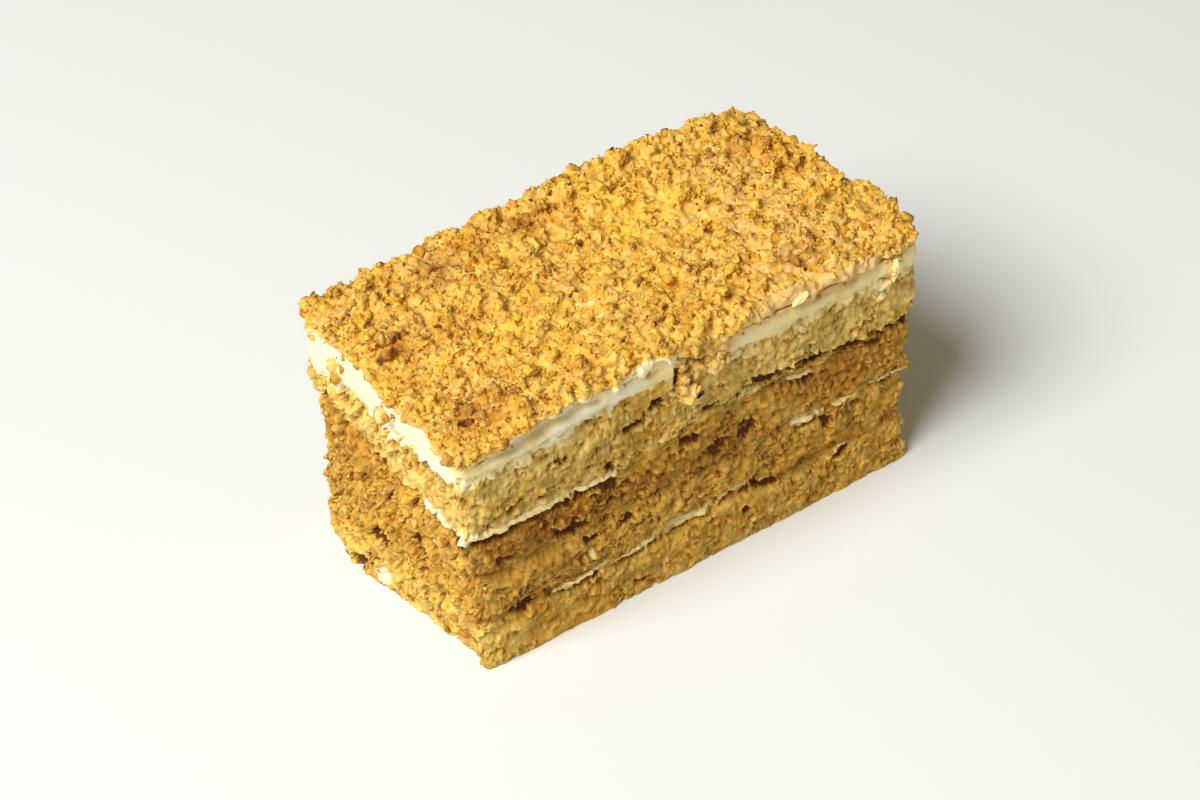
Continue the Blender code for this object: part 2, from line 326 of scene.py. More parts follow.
def outward_of(ring):
    """The level direction out of the slice at each sample of a rim."""
    smooth = round_mean(ring, 3 * ROUND_MEAN, 0)
    ahead = np.roll(smooth, -1, axis=0) - np.roll(smooth, 1, axis=0)
    outward = np.stack([ahead[:, 1], -ahead[:, 0], np.zeros(SAMPLES)], axis=1)
    return outward / np.linalg.norm(outward, axis=1)[:, None]


def fine_wall(node):
    """A layer's wall as rows of points from its lower rim to its upper one."""
    bm = closed_copy(node)
    low_hub, high_hub = hubs(bm)
    low, high = (round_mean(evenly(rim(hub)), ROUND_MEAN, 0) for hub in (low_hub, high_hub))
    ends = [low_hub.co.copy(), high_hub.co.copy()]
    for end, ring, lap in ((0, low, -LAP), (1, high, LAP)):
        if ends[end].z > LAP:
            ring[:, 2] += lap
            ends[end].z += lap
    outward = outward_of(low + high)
    count = max(LEAST_ROWS, round(float(np.mean(high[:, 2] - low[:, 2])) / CELL))
    tree = BVHTree.FromBMesh(bm)
    bm.free()
    rows = [low]
    for row in range(1, count):
        places = low + (high - low) * (row / count)
        for place, out in zip(places, outward):
            hit = tree.ray_cast(Vector(place - out * PROBE), Vector(out), 3 * PROBE)[0]
            if hit:
                place[:] = hit
        rows.append(places)
    rows = np.array(rows + [high])
    rows[1:-1] = round_mean(rows[1:-1], ROUND_MEAN, 1)
    rows[1:-1] = (rows[:-2] + rows[1:-1] + rows[2:]) / 3
    return Wall(rows, ends, outward)


STACK = (
    "sponge_base",
    "cream_seam_lower",
    "sponge_lower",
    "cream_seam_middle",
    "sponge_middle",
    "cream_seam_upper",
    "sponge_upper",
    "cream_top",
)
walls = {node: fine_wall(node) for node in STACK}
print("rows in each wall:", {node: len(wall.rows) for node, wall in walls.items()})

# %% [markdown]
# ## Rims that meet
#
# In a real slice one layer is soaked into the next, and no shelf shows between them. So where two
# walls follow each other, their rims are drawn to one common line, and the rows near that line
# follow it a little less with each row.

# %% Common rims
RIM_REACH = 1.4 * MM


def draw_rim(rows, end, line):
    """Moves a wall's end row to a line, and fades the move over the rows next to it."""
    shift = line - rows[end]
    gap = np.abs(rows[..., 2] - rows[end][..., 2])
    share = np.clip(1 - gap / RIM_REACH, 0, 1)[..., None]
    rows += shift * share


for below, above in zip(STACK, STACK[1:]):
    low_rows, high_rows = walls[below].rows, walls[above].rows
    line = (low_rows[-1] + high_rows[0]) / 2
    draw_rim(low_rows, -1, line)
    draw_rim(high_rows, 0, line)
print("common rims:", len(STACK) - 1)

# %% [markdown]
# ## A mesh from a wall
#
# The rows of points become rings of even faces. A wall that has the middles of its two fans is
# closed by them. Plain numbers that belong to the points, such as how torn the crumb is there,
# are kept with the mesh as attributes, because node trees for shape and for colour can both read
# those.

# %% Mesh and attributes
def wall_object(name, wall):
    """A wall as an object, with its fans where it has their middles."""
    count = len(wall.rows)
    step = np.arange(SAMPLES)
    after = (step + 1) % SAMPLES
    faces = []
    for row in range(count - 1):
        below, above = row * SAMPLES, (row + 1) * SAMPLES
        faces += np.stack([below + step, below + after, above + after, above + step], axis=1).tolist()
    sides = len(faces)
    if len(wall.ends):
        low_end, high_end, top = count * SAMPLES, count * SAMPLES + 1, (count - 1) * SAMPLES
        faces += [(low_end, int(b), int(a)) for a, b in zip(step, after)]
        faces += [(high_end, top + int(a), top + int(b)) for a, b in zip(step, after)]
    mesh = bpy.data.meshes.new(name)
    mesh.from_pydata(wall.rows.reshape(-1, 3).tolist() + [list(end) for end in wall.ends], [], faces)
    # Smooth fans would tilt the wall's shading at the rims that they share with it
    mesh.polygons.foreach_set("use_smooth", np.arange(len(faces)) < sides)
    return added(name, mesh)


def write_attribute(mesh, name, values):
    """Keeps a number, or a direction, for each point of a mesh."""
    values = np.asarray(values, np.float32).ravel()
    kind, field = ("FLOAT", "value") if len(values) == len(mesh.vertices) else ("FLOAT_VECTOR", "vector")
    attribute = mesh.attributes.get(name) or mesh.attributes.new(name, kind, "POINT")
    attribute.data.foreach_set(field, values)


def read_attribute(mesh, name):
    values = np.zeros(len(mesh.vertices), np.float32)
    mesh.attributes[name].data.foreach_get("value", values)
    return values


def read_points(mesh, field="co"):
    values = np.zeros(len(mesh.vertices) * 3)
    mesh.vertices.foreach_get(field, values)
    return values.reshape(-1, 3)


print("wall cells in mm:", round(CELL / MM, 2), "with", SAMPLES, "samples round")

# %% [markdown]
# ## Places on the slice
#
# Some things on the real slice have their own place: the tears in the top sponge, the dents in the
# left face, the walnut clumps on top. A spot is an oval on one side of the slice, with an amount
# that fades at its edge. A ribbon is a stretch of a seam where its cream shows. Their places are
# in mm from the middle of the plan, along a side and up it, or along and across the top.

# %% Spots and ribbons
Spot = namedtuple("Spot", "along height half_length half_height amount")
Ribbon = namedtuple("Ribbon", "seam along half_length half_width amount under drop", defaults=(0.0,))
SIDES = {"front": (0, -1), "left": (-1, 0), "back": (0, 1), "right": (1, 0)}
FACING = 0.25
UNDERCUT_DROP = 0.9
UNDERCUT_HEIGHT = 0.9


def in_plan(points):
    """Points in mm from the middle of the plan."""
    return (points - np.array(middle)) / MM


def on_side(places, directions, side):
    """Which points look out of a side, and how far along and up it they lie."""
    if side == "top":
        return directions[..., 2] > FACING, places[..., 0], places[..., 1]
    out_x, out_y = SIDES[side]
    along = places[..., 1] if out_x else places[..., 0]
    return directions[..., 0] * out_x + directions[..., 1] * out_y > FACING, along, places[..., 2]


def spot_values(places, directions, spots):
    """The sum of the spots at each point."""
    total = np.zeros(places.shape[:-1])
    for side, rows in spots.items():
        facing, along, height = on_side(places, directions, side)
        for spot in (Spot(*row) for row in rows):
            far = ((along - spot.along) / spot.half_length) ** 2
            far += ((height - spot.height) / spot.half_height) ** 2
            total += spot.amount * np.exp(-(far**2)) * facing
    return total


def ribbon_values(places, directions):
    """How much cream the ribbons show at each point, and how torn the crumb just under them is."""
    shown_cream, torn = np.zeros(places.shape[:-1]), np.zeros(places.shape[:-1])
    for side, rows in RIBBONS.items():
        facing, along, height = on_side(places, directions, side)
        for ribbon in (Ribbon(*row) for row in rows):
            seam = walls[ribbon.seam].rows
            line = ((seam[0] + seam[-1])[:, 2] / 2 - middle.z) / MM - ribbon.drop
            length = np.exp(-(((along - ribbon.along) / ribbon.half_length) ** 4)) * facing
            below = line - height
            near = length * np.exp(-((below / ribbon.half_width) ** 2))
            shown_cream = np.maximum(shown_cream, ribbon.amount * near)
            # The tear under a ribbon is cut in, and painted shade in it as a hollow draws the ribbon's dark
            # shadow line.
            gap = (below - ribbon.half_width - UNDERCUT_DROP) / UNDERCUT_HEIGHT
            torn = np.maximum(torn, ribbon.under * length * np.exp(-(gap**2)))
    return shown_cream, torn


# Tears are cut into the crumb, and the crumb colours darken them with painted shade as hollows.
TEARS = {
    "front": (
        (12.4, 37.2, 3.6, 2.0, 1.3),
        (17.0, 35.6, 3.4, 1.6, 1.2),
        (24.0, 35.7, 5.4, 2.0, 1.25),
        (24.5, 31.0, 3.8, 1.5, 1.15),
        (32.0, 34.4, 6.0, 2.0, 1.05),
        (41.0, 33.0, 8.0, 2.8, 1.0),
        (49.0, 34.0, 3.0, 2.2, 1.2),
        (-33.0, 34.6, 2.0, 0.9, 1.2),
        (-19.0, 27.0, 3.4, 3.0, 0.55),
        (-41.0, 23.4, 3.0, 1.0, 1.1),
        (11.6, 26.4, 2.6, 4.2, 1.0),
        (4.6, 25.2, 2.8, 3.0, 0.7),
        (-1.0, 30.4, 3.8, 1.3, 1.3),
        (-30.0, 28.4, 13.0, 1.8, 0.8),
        (-25.0, 24.0, 10.0, 2.6, 0.85),
        (-11.0, 40.0, 6.0, 5.0, 0.7),
        (4.0, 26.0, 10.0, 3.6, 0.5),
        (3.0, 36.0, 3.0, 1.4, 1.3),
        (8.0, 35.0, 2.4, 1.4, 1.3),
        (-18.6, 33.8, 2.0, 2.0, 1.3),
        (-14.4, 40.6, 2.4, 1.1, 1.3),
        (-8.5, 43.0, 2.0, 1.4, 1.0),
        (-30.0, 40.4, 3.0, 1.5, 1.25),
        (-39.0, 35.5, 3.0, 1.5, 1.15),
        (-17.0, 28.5, 3.0, 2.8, 0.45),
        (-28.0, 22.4, 5.0, 1.3, 0.6),
        (-42.0, 22.4, 4.0, 1.5, 1.2),
        (-44.0, 29.8, 5.0, 1.0, 1.2),
        (-16.0, 18.8, 2.8, 1.4, 1.25),
        (-23.0, 18.6, 2.2, 1.3, 1.3),
        (29.4, 18.6, 1.7, 1.6, 1.45),
        (10.7, 6.6, 1.2, 1.3, 1.6),
        (13.9, 12.2, 0.9, 2.8, 1.8),
        (16.8, 9.6, 2.6, 1.1, 1.7),
        (-38.0, 10.8, 4.0, 2.2, 1.25),
        (32.4, 9.0, 2.4, 0.9, 1.2),
        (-4.4, 48.0, 0.8, 3.4, 1.7),
        (-13.4, 2.6, 1.6, 1.1, 1.4),
    ),
    "left": (
        (3.4, 31.6, 7.0, 2.0, 1.5),
        (18.6, 35.8, 2.2, 1.8, 2.0),
        (10.4, 35.8, 2.2, 1.5, 1.8),
        (-17.0, 31.0, 5.0, 1.7, 1.25),
        (1.4, 23.4, 3.4, 2.0, 1.5),
        (8.0, 17.4, 3.6, 2.2, 1.4),
        (-7.5, 16.8, 6.0, 2.0, 1.35),
        (16.0, 22.0, 3.4, 2.0, 1.1),
        (6.0, 10.8, 4.4, 2.0, 1.35),
        (7.0, 5.0, 3.0, 2.4, 1.1),
        (11.0, 1.4, 4.0, 1.9, 1.4),
        (-4.5, 6.0, 3.4, 1.4, 1.3),
    ),
    "back": (
        (-20.0, 35.6, 7.0, 1.8, 1.05),
        (12.0, 27.0, 3.2, 3.2, 1.0),
        (33.0, 16.0, 4.0, 2.0, 1.05),
        (4.0, 12.0, 6.0, 1.6, 1.05),
        (-38.0, 24.0, 4.0, 1.8, 1.1),
    ),
    "right": (
        (-8.0, 35.8, 5.6, 1.8, 1.1),
        (11.0, 25.0, 3.2, 3.0, 1.05),
        (2.0, 8.0, 3.6, 2.2, 1.05),
        (-16.0, 18.0, 3.0, 2.0, 1.2),
    ),
}
SMEARS = {
    "front": (
        (-10.0, 46.6, 5.0, 1.6, -0.8),
        (-37.0, 44.2, 2.2, 2.2, 0.45),
        (-28.0, 44.6, 2.4, 1.6, 0.3),
        (-43.0, 41.0, 1.0, 3.0, 0.3),
        (23.6, 32.4, 3.0, 0.55, 1.0),
        (43.2, 44.6, 0.9, 1.6, 0.9),
        (-24.0, 15.0, 1.8, 1.0, 0.42),
    ),
    "left": (
        (0.0, 42.8, 9.0, 1.4, 0.9),
        (-17.0, 44.8, 9.0, 1.3, 0.9),
        (-12.0, 23.2, 5.0, 0.5, 0.55),
        (4.5, 2.4, 1.5, 2.2, 1.2),
    ),
}
SPILLS = {
    "front": (
        (0.5, 50.5, 4.4, 5.0, 1.6),
        (4.0, 46.0, 3.0, 1.6, 1.2),
        (-2.4, 44.0, 1.8, 3.4, 1.3),
        (42.6, 49.0, 2.0, 2.6, 0.7),
    ),
    "left": (
        (13.4, 46.6, 1.9, 2.6, 1.4),
        (-3.4, 48.0, 1.6, 1.5, 1.4),
        (26.0, 37.6, 2.0, 2.0, 1.0),
    ),
    "back": (
        (16.0, 49.0, 4.0, 4.0, 1.3),
    ),
    "right": (
        (6.0, 48.6, 3.0, 3.4, 1.2),
    ),
}
# Toasted areas, which turn amber. The spots on the front also paint shade on the face that lies in shade.
TOAST_AND_SHADE_SPOTS = {
    "front": (
        (-30.0, 26.0, 17.0, 4.2, 1.3),
        (0.0, 25.0, 14.0, 4.6, 0.9),
        (34.0, 28.4, 18.0, 4.6, 0.6),
        (-11.0, 40.0, 6.0, 6.0, 0.8),
        (-26.0, 37.0, 16.0, 3.0, 0.5),
        (-43.0, 4.0, 5.0, 6.0, -0.8),
        (-38.0, 10.6, 6.0, 3.0, 0.5),
    ),
    "left": (
        (-20.0, 40.0, 8.0, 3.0, 0.5),
        (-16.0, 31.0, 9.0, 3.0, 0.7),
        (18.0, 35.0, 4.0, 3.0, 0.9),
        (12.0, 29.0, 14.0, 5.0, 0.6),
        (17.0, 25.0, 6.0, 3.0, 0.6),
        (-6.0, 16.0, 8.0, 3.0, 0.6),
        (8.0, 9.0, 6.0, 3.4, 0.6),
        (22.0, 5.0, 5.0, 3.0, 0.7),
    ),
    "back": (
        (10.0, 27.0, 22.0, 5.0, 0.6),
    ),
    "right": (
        (0.0, 27.0, 14.0, 5.0, 0.6),
    ),
    "top": (
        (-44.0, 6.0, 4.0, 3.6, 1.0),
        (-40.0, -18.5, 7.0, 4.5, 1.2),
        (25.5, -18.5, 6.0, 4.0, 0.9),
        (-40.0, 4.0, 6.0, 5.0, 0.6),
        (-26.0, 18.0, 12.0, 5.0, 0.6),
        (-46.0, -4.0, 3.0, 4.0, 0.8),
        (-5.0, 18.0, 5.0, 3.0, 0.8),
        (-38.0, 20.0, 5.0, 3.0, 0.6),
        (41.0, 12.0, 5.0, 7.0, 0.7),
        (-33.0, 2.0, 3.0, 3.0, 0.6),
        (-14.0, 20.0, 12.0, 3.0, 0.5),
        (33.0, -20.0, 5.0, 3.0, 0.7),
        (-21.0, -22.0, 4.0, 3.0, 0.5),
    ),
}
SUNNY = {
    "top": (
        (14.0, 8.0, 9.0, 6.0, 1.0),
        (8.0, 16.0, 6.0, 4.0, 0.8),
        (-25.0, -4.0, 7.0, 5.0, 0.9),
        (-12.0, -6.0, 6.0, 4.0, 0.5),
        (-46.0, -12.0, 3.0, 3.0, 0.6),
        (-16.0, -18.0, 5.0, 4.0, 0.5),
        (5.0, -8.0, 10.0, 6.0, 0.5),
        (20.0, -18.0, 8.0, 4.0, 0.4),
    ),
}
NUTTY = {
    "top": (
        (33.0, -13.0, 7.0, 6.0, 1.0),
        (31.0, 10.0, 5.0, 8.0, 0.9),
        (36.0, -4.0, 5.0, 3.0, 0.8),
        (-41.0, -16.0, 8.0, 5.0, 0.8),
        (-40.0, 8.0, 6.0, 5.0, 0.7),
        (-28.0, 17.0, 8.0, 5.0, 0.8),
        (-9.0, 18.0, 5.0, 4.0, 0.5),
        (-10.0, 6.0, 5.0, 4.0, 0.5),
        (-6.0, -14.0, 5.0, 5.0, 0.5),
        (13.0, -11.0, 4.0, 3.0, 0.6),
        (38.0, -20.0, 8.0, 5.0, 0.5),
    ),
}
# Pits in the topping, cut in as tears and darkened with painted shade as hollows.
PITS_WITH_PAINTED_SHADE = {
    "top": (
        (-43.4, 6.6, 1.3, 1.0, 1.6),
        (-46.6, 4.0, 1.0, 1.4, 1.3),
        (-43.0, -18.4, 1.7, 1.0, 1.6),
        (-1.0, 9.4, 0.8, 0.9, 1.5),
        (7.4, 10.0, 0.8, 0.9, 1.5),
        (-38.0, 19.0, 1.0, 0.8, 1.2),
        (-5.0, 18.0, 1.4, 0.8, 1.2),
        (14.6, 24.6, 1.0, 0.8, 1.4),
        (3.6, 18.6, 0.8, 1.0, 1.2),
        (30.4, -21.4, 1.8, 0.9, 1.3),
        (-30.0, -18.4, 1.6, 0.7, 1.1),
        (0.0, -15.4, 1.2, 0.9, 1.1),
    ),
}
RIBBONS = {
    "front": (
        ("cream_seam_upper", -37.5, 11.5, 0.8, 1.3, 1.6),
        ("cream_seam_upper", -22.5, 5.0, 0.6, 1.15, 1.6),
        ("cream_seam_upper", -49.5, 5.0, 1.0, 0.95, 1.1),
        ("cream_seam_middle", 24.8, 4.0, 0.7, 1.0, 1.1),
        ("cream_seam_middle", 33.8, 3.0, 0.5, 0.8, 0.9),
        ("cream_seam_middle", 45.0, 6.0, 0.35, 0.75, 0.9),
        ("cream_seam_lower", -25.5, 6.4, 0.42, 0.95, 1.4, 0.3),
        ("cream_seam_lower", -13.5, 6.4, 0.4, 0.95, 1.3, 0.5),
        ("cream_seam_lower", -2.0, 7.0, 0.62, 1.1, 1.3, 0.8),
        ("cream_seam_lower", 9.0, 5.0, 0.5, 1.05, 1.3, 0.8),
        ("cream_seam_lower", 33.2, 2.6, 0.4, 0.6, 1.2),
    ),
    "left": (
        ("cream_seam_upper", -16.0, 5.0, 1.1, 1.3, 1.5, -1.4),
        ("cream_seam_upper", -25.0, 4.5, 1.0, 0.75, 1.2, -0.6),
    ),
    "back": (
        ("cream_seam_upper", -12.0, 24.0, 0.55, 1.1, 1.4),
        ("cream_seam_middle", 22.0, 6.0, 0.45, 1.0, 1.2),
        ("cream_seam_lower", 24.0, 14.0, 0.4, 1.0, 1.2),
    ),
    "right": (
        ("cream_seam_upper", 10.0, 10.0, 0.5, 1.1, 1.4),
        ("cream_seam_lower", -8.0, 6.0, 0.4, 1.0, 1.2),
    ),
}
print("tears:", sum(len(rows) for rows in TEARS.values()), "on", len(TEARS), "sides")

# %% [markdown]
# ## The relief of crumb and cream
#
# Honey sponge breaks into chunks: small faces that lie a little turned, with creases between. A
# cell texture gives such chunks, when each cell is tilted by its own random amount. Where a knife
# went through, the crumb is low and dragged along the layers. Both have grit and pits where air
# sat. One Geometry Nodes tree makes all of it from the place of each point, so that the relief
# runs on from one layer into the next.

# %% Broken chunks
CREASE_EDGE = 0.14
MIDDLE_LEAN = (0.5, 0.5, 0.5)


def chunks(w, place, size, tilt, step, crease, lean):
    """The height of broken chunks, and a random number for each. The lean turns all of them alike."""
    inputs = {"Vector": place, "Scale": 1.0 / size}
    cell = w.wires(w.put("ShaderNodeTexVoronoi", inputs))
    turn = cell["Color"] - lean
    arm = place - cell["Position"]
    slope = w.wire("ShaderNodeVectorMath", {0: turn, 1: arm}, "Value", operation="DOT_PRODUCT")
    tint = w.wire("ShaderNodeSeparateXYZ", {0: turn})
    edge = w.wire("ShaderNodeTexVoronoi", inputs, feature="DISTANCE_TO_EDGE")
    height = slope * tilt + tint * step - w.step(edge, 0.0, CREASE_EDGE, 1.0, 0.0) * crease
    return height, tint + 0.5


print("creases are", CREASE_EDGE, "of a chunk wide")

# %% Crumb height
RELIEF_SIZES = {
    "Chunk size": 3.4,
    "Chunk tilt": 0.7,
    "Chunk step": 0.7,
    "Crumb size": 1.3,
    "Crumb tilt": 0.6,
    "Crumb step": 0.35,
    "Crease depth": 0.3,
    "Grit height": 0.75,
    "Flake size": 1.3,
    "Flake tilt": 0.38,
    "Flake step": 0.4,
    "Drag length": 4.4,
    "Drag height": 2.0,
    "Lump size": 2.2,
    "Lump height": 0.9,
    "Pore size": 1.1,
    "Pore depth": 0.8,
    "Pit size": 2.3,
    "Pit start": 0.59,
    "Pit depth": 0.9,
    "Tear depth": 1.1,
    "Crack length": 4.6,
    "Crack width": 0.036,
    "Crack depth": 0.6,
    "Smear height": 0.55,
    "Droop": 0.3,
    "Soft rounds": 1,
}
STREAK_NOISE = (1.0, 5.0, 0.62)
CUT_CRUMB = 0.3
TORN_CRUMB = 1.4
TORN_DRAG = 0.6
GRIT_SHAPE = (0.6, 0.6, 1.3)
GRIT_NOISE = (0.9, 5.0, 0.66)
FLAKE_SHAPE = (0.55, 0.55, 1.0)
FLAKE_LEAN = (0.5, 0.5, 0.57)
DRAG_FLATNESS = 2.6
LUMP_DETAIL = 3.0
PORE_SHAPE = (0.75, 0.75, 1.2)
PORE_START = 0.6
HOLE_EDGE = 0.08


def streaks(w, place, length, flatness):
    """Ragged noise, drawn out along the layers."""
    along = 1.0 / length
    return w.swing(place * w.xyz(along, along, along * flatness), *STREAK_NOISE)


def crumb_height(w, given, place, bent):
    """The height of the crumb, torn or cut, and the random number of its chunks."""

    def broken(name, at, lean=MIDDLE_LEAN):
        sizes = [given[f"{name} {part}"] for part in ("size", "tilt", "step")]
        return chunks(w, at, *sizes, given["Crease depth"], lean)

    chunk, tint = broken("Chunk", bent)
    torn = chunk + broken("Crumb", bent)[0]
    drag = streaks(w, bent, given["Drag length"], DRAG_FLATNESS) * given["Drag height"]
    flake = broken("Flake", bent * FLAKE_SHAPE, FLAKE_LEAN)[0]
    lump = w.swing(place, 1.0 / given["Lump size"], LUMP_DETAIL) * given["Lump height"]
    pore = w.noise(bent * PORE_SHAPE, 1.0 / given["Pore size"])
    pore = w.step(pore, PORE_START, PORE_START + HOLE_EDGE) * given["Pore depth"]
    cut = torn * CUT_CRUMB + (lump - pore + (drag + flake))
    torn = torn * TORN_CRUMB + (drag * TORN_DRAG + lump)
    grit = w.swing(bent * GRIT_SHAPE, *GRIT_NOISE)
    rough = grit * given["Grit height"] + w.between(w.read("calm"), torn, cut)
    pit = w.step(w.noise(bent, 1.0 / given["Pit size"]), given["Pit start"], given["Pit start"] + HOLE_EDGE)
    return rough * w.read("rough") - pit * given["Pit depth"], tint


print("relief inputs:", len(RELIEF_SIZES))

# %% [markdown]
# ## Cream, tears and cracks
#
# Cream is smooth, with long shallow smears, and its border is ragged. Tears open along the bake
# where the spots say. Thin cracks open in patches, and never in cream. Both are cut into the
# height that crumb and cream have together. The tree also stores what the colours need: hollows,
# peaks, cream and chunks. At last it draws back what would stand out past the slice's box. Each
# noise is given by its scale for each mm, its detail and its roughness.

# %% Relief tree
WOBBLE_SCALE = 0.8
WOBBLE = 2.6
SMEAR_STRETCH = (0.22, 0.22, 0.5)
SMEAR_NOISE = (1.0, 5.0)
MASK_NOISE = (1 / 1.9, 4.0, 0.55)
MASK_RAGGED = 2.0
CREAM_FROM = (0.4, 0.6)
SMOOTH_FROM = (0.7, 1.6)
TEAR_STRETCH = (1 / 2.6, 1 / 2.6, 1 / 1.5)
TEAR_NOISE = (1.0, 6.0, 0.68)
TEAR_RARE = 0.8
TEAR_OPENING = 0.31
TEAR_EDGE = 0.06
CRACK_FLATNESS = 1.8
CRACK_PATCHES = (1 / 8.0, 3.0)
CRACK_FROM = (0.38, 0.56)
CRACK_HOLLOW = 0.95
BLUR_ROUNDS = 6
HOLLOW_RANGE = (-0.38, -0.08)
PORE_HOLLOW = 0.66
PEAK_RANGE = (0.04, 0.3)
CREAM_BROKEN = 0.6
OVERHANG = 1.1 * MM
ROOM_LOW = (solid_box[0][0] - OVERHANG, solid_box[0][1] - OVERHANG, solid_box[0][2])
ROOM_HIGH = tuple(value + OVERHANG for value in solid_box[1])
RELIEF_WORK = ("push", "outward", "calm", "rough", "stand", "bare", "tear", "height")


def stored(w, geometry, name, value, kind="FLOAT"):
    inputs = {"Geometry": geometry, "Name": name, "Value": value}
    return w.wire("GeometryNodeStoreNamedAttribute", inputs, data_type=kind, domain="POINT")


def blurred(w, value, rounds):
    return w.wire("GeometryNodeBlurAttribute", {0: value, "Iterations": rounds}, data_type="FLOAT")


def moved(w, geometry, offset):
    """The points moved, and drawn back where they leave the slice's box or go under the table."""
    geometry = w.wire("GeometryNodeSetPosition", {"Geometry": geometry, "Offset": offset})
    place = w.math("MAXIMUM", w.wire("GeometryNodeInputPosition"), ROOM_LOW)
    place = w.math("MINIMUM", place, ROOM_HIGH)
    return w.wire("GeometryNodeSetPosition", {"Geometry": geometry, "Position": place})


def put_out(w, geometry, material):
    """Ends a tree with its material and its output."""
    geometry = w.wire("GeometryNodeSetMaterial", {"Geometry": geometry, "Material": material})
    w.put("NodeGroupOutput", {"Geometry": geometry})
    return w.tree


def relief_tree():
    shape = {"Geometry": "Geometry"}
    inputs = {**shape, "Material": "Material", **RELIEF_SIZES}
    w, given = new_tree("Crumb and cream relief", "GeometryNodeTree", inputs, shape)
    place = w.place()
    bent = place + (w.noise(place, WOBBLE_SCALE, output=1) - 0.5) * WOBBLE
    rough, tint = crumb_height(w, given, place, bent)
    smear = w.swing(place * SMEAR_STRETCH, *SMEAR_NOISE) * given["Smear height"]
    bare = w.swing(place, *MASK_NOISE) * MASK_RAGGED + w.read("bare")
    cream = w.step(bare, *CREAM_FROM)
    smooth = w.step(bare, *SMOOTH_FROM)
    height = w.between(smooth, rough, smear) + w.read("stand")

    opening = w.read("tear") * -TEAR_OPENING + TEAR_RARE
    tear = w.step(w.noise(bent * TEAR_STRETCH, *TEAR_NOISE), opening, opening + TEAR_EDGE)
    line = w.math("ABSOLUTE", streaks(w, bent, given["Crack length"], CRACK_FLATNESS))
    patch = w.step(w.noise(place, *CRACK_PATCHES), *CRACK_FROM)
    crack = w.step(line, 0.0, given["Crack width"], 1.0, 0.0) * patch * (1.0 - cream)
    height = height - tear * given["Tear depth"] - crack * given["Crack depth"]

    geometry = stored(w, given["Geometry"], "height", height)
    geometry = stored(w, geometry, "height", blurred(w, w.read("height"), given["Soft rounds"]))
    height = w.read("height")
    over = height - blurred(w, height, BLUR_ROUNDS)
    pores = w.step(over, *HOLLOW_RANGE, PORE_HOLLOW, 0.0)
    # Hollows, tears and cracks make the mask of the painted shade, and peaks the mask of the painted
    # highlight, in the crumb colours.
    hollow = w.math("MAXIMUM", pores, w.math("MAXIMUM", tear, crack * CRACK_HOLLOW))
    unbroken = 1.0 - pores * ((1.0 - smooth) * CREAM_BROKEN)
    marks = {"hollow": hollow, "peak": w.step(over, *PEAK_RANGE), "tint": tint}
    marks["cream"] = cream * ((1.0 - tear) * unbroken)
    for name, value in marks.items():
        geometry = stored(w, geometry, name, value)
    push = w.read("outward", "FLOAT_VECTOR") * (height * MM) + w.xyz(z=height * given["Droop"] * -MM)
    geometry = stored(w, geometry, "push", push, "FLOAT_VECTOR")
    geometry = moved(w, geometry, w.read("push", "FLOAT_VECTOR"))
    for name in RELIEF_WORK:
        geometry = w.wire("GeometryNodeRemoveAttribute", {"Geometry": geometry, "Name": name})
    return put_out(w, geometry, given["Material"])


relief = relief_tree()
print("relief tree:", len(relief.nodes), "nodes")

# %% [markdown]
# ## From a tree to a plain mesh
#
# The export wants plain meshes. Each tree runs as a modifier once, its result becomes the
# piece's own plain mesh, and the modifier goes.

# %% Apply a tree
def apply_tree(piece, tree, values):
    """Runs a tree on a piece with these inputs, and keeps the result as its plain mesh."""
    modifier = piece.modifiers.new(tree.name, "NODES")
    modifier.node_group = tree
    for socket in tree.interface.items_tree:
        if socket.item_type == "SOCKET" and socket.in_out == "INPUT" and socket.name in values:
            modifier[socket.identifier] = values[socket.name]
    piece.update_tag()
    evaluated = piece.evaluated_get(bpy.context.evaluated_depsgraph_get())
    made = bpy.data.meshes.new_from_object(evaluated)
    piece.modifiers.remove(modifier)
    piece.data = made
    made.name = piece.name
    return piece
print("trees so far:", [tree.name for tree in bpy.data.node_groups])

# %% [markdown]
# ## Colours of crumb
#
# Honey sponge is not one brown. Patches of it are golden and single crumbs are lighter or darker.
# Painted shade turns the hollows amber and then a deep red brown, and a painted highlight makes
# the high crumbs pale tan. A shader node group mixes these from the place in millimetres and from
# the depths that the relief has stored. The same group serves the four sponges, the seams and the
# topping, each with its own colours.

# %% Helpers for colours
Mottle = namedtuple("Mottle", "scale detail start end")
# The last shade is the colour of the painted shade in the hollows.
CRUMB_SHADES = ("Pale", "Gold", "Amber", "Hollow shade")
CRUMB_MASKS = ("Hollow", "Peak", "Tint", "Toast_and_shade")
GROUP_OUTPUTS = {"Colour": "Color", "Height": "Float"}


def linear(red, green, blue):
    """A colour as a screen shows it, 0 to 255, as the linear values that a shader takes."""
    return tuple((value / 255.0) ** 2.2 for value in (red, green, blue)) + (1.0,)


def mottled(w, place, mottle, low=0.0, high=1.0):
    """Patches of noise, low between them and high on them."""
    return w.step(w.noise(place, mottle.scale, mottle.detail), mottle.start, mottle.end, low, high)


def shaded(w, colour, value, start, end, dark, light):
    """The colour, darker or lighter as the value goes from start to end."""
    shade = w.step(value, start, end, dark, light)
    grey = w.wire("ShaderNodeCombineColor", {0: shade, 1: shade, 2: shade})
    return w.mix(1.0, colour, grey, "MULTIPLY")


print("shades of crumb:", CRUMB_SHADES)

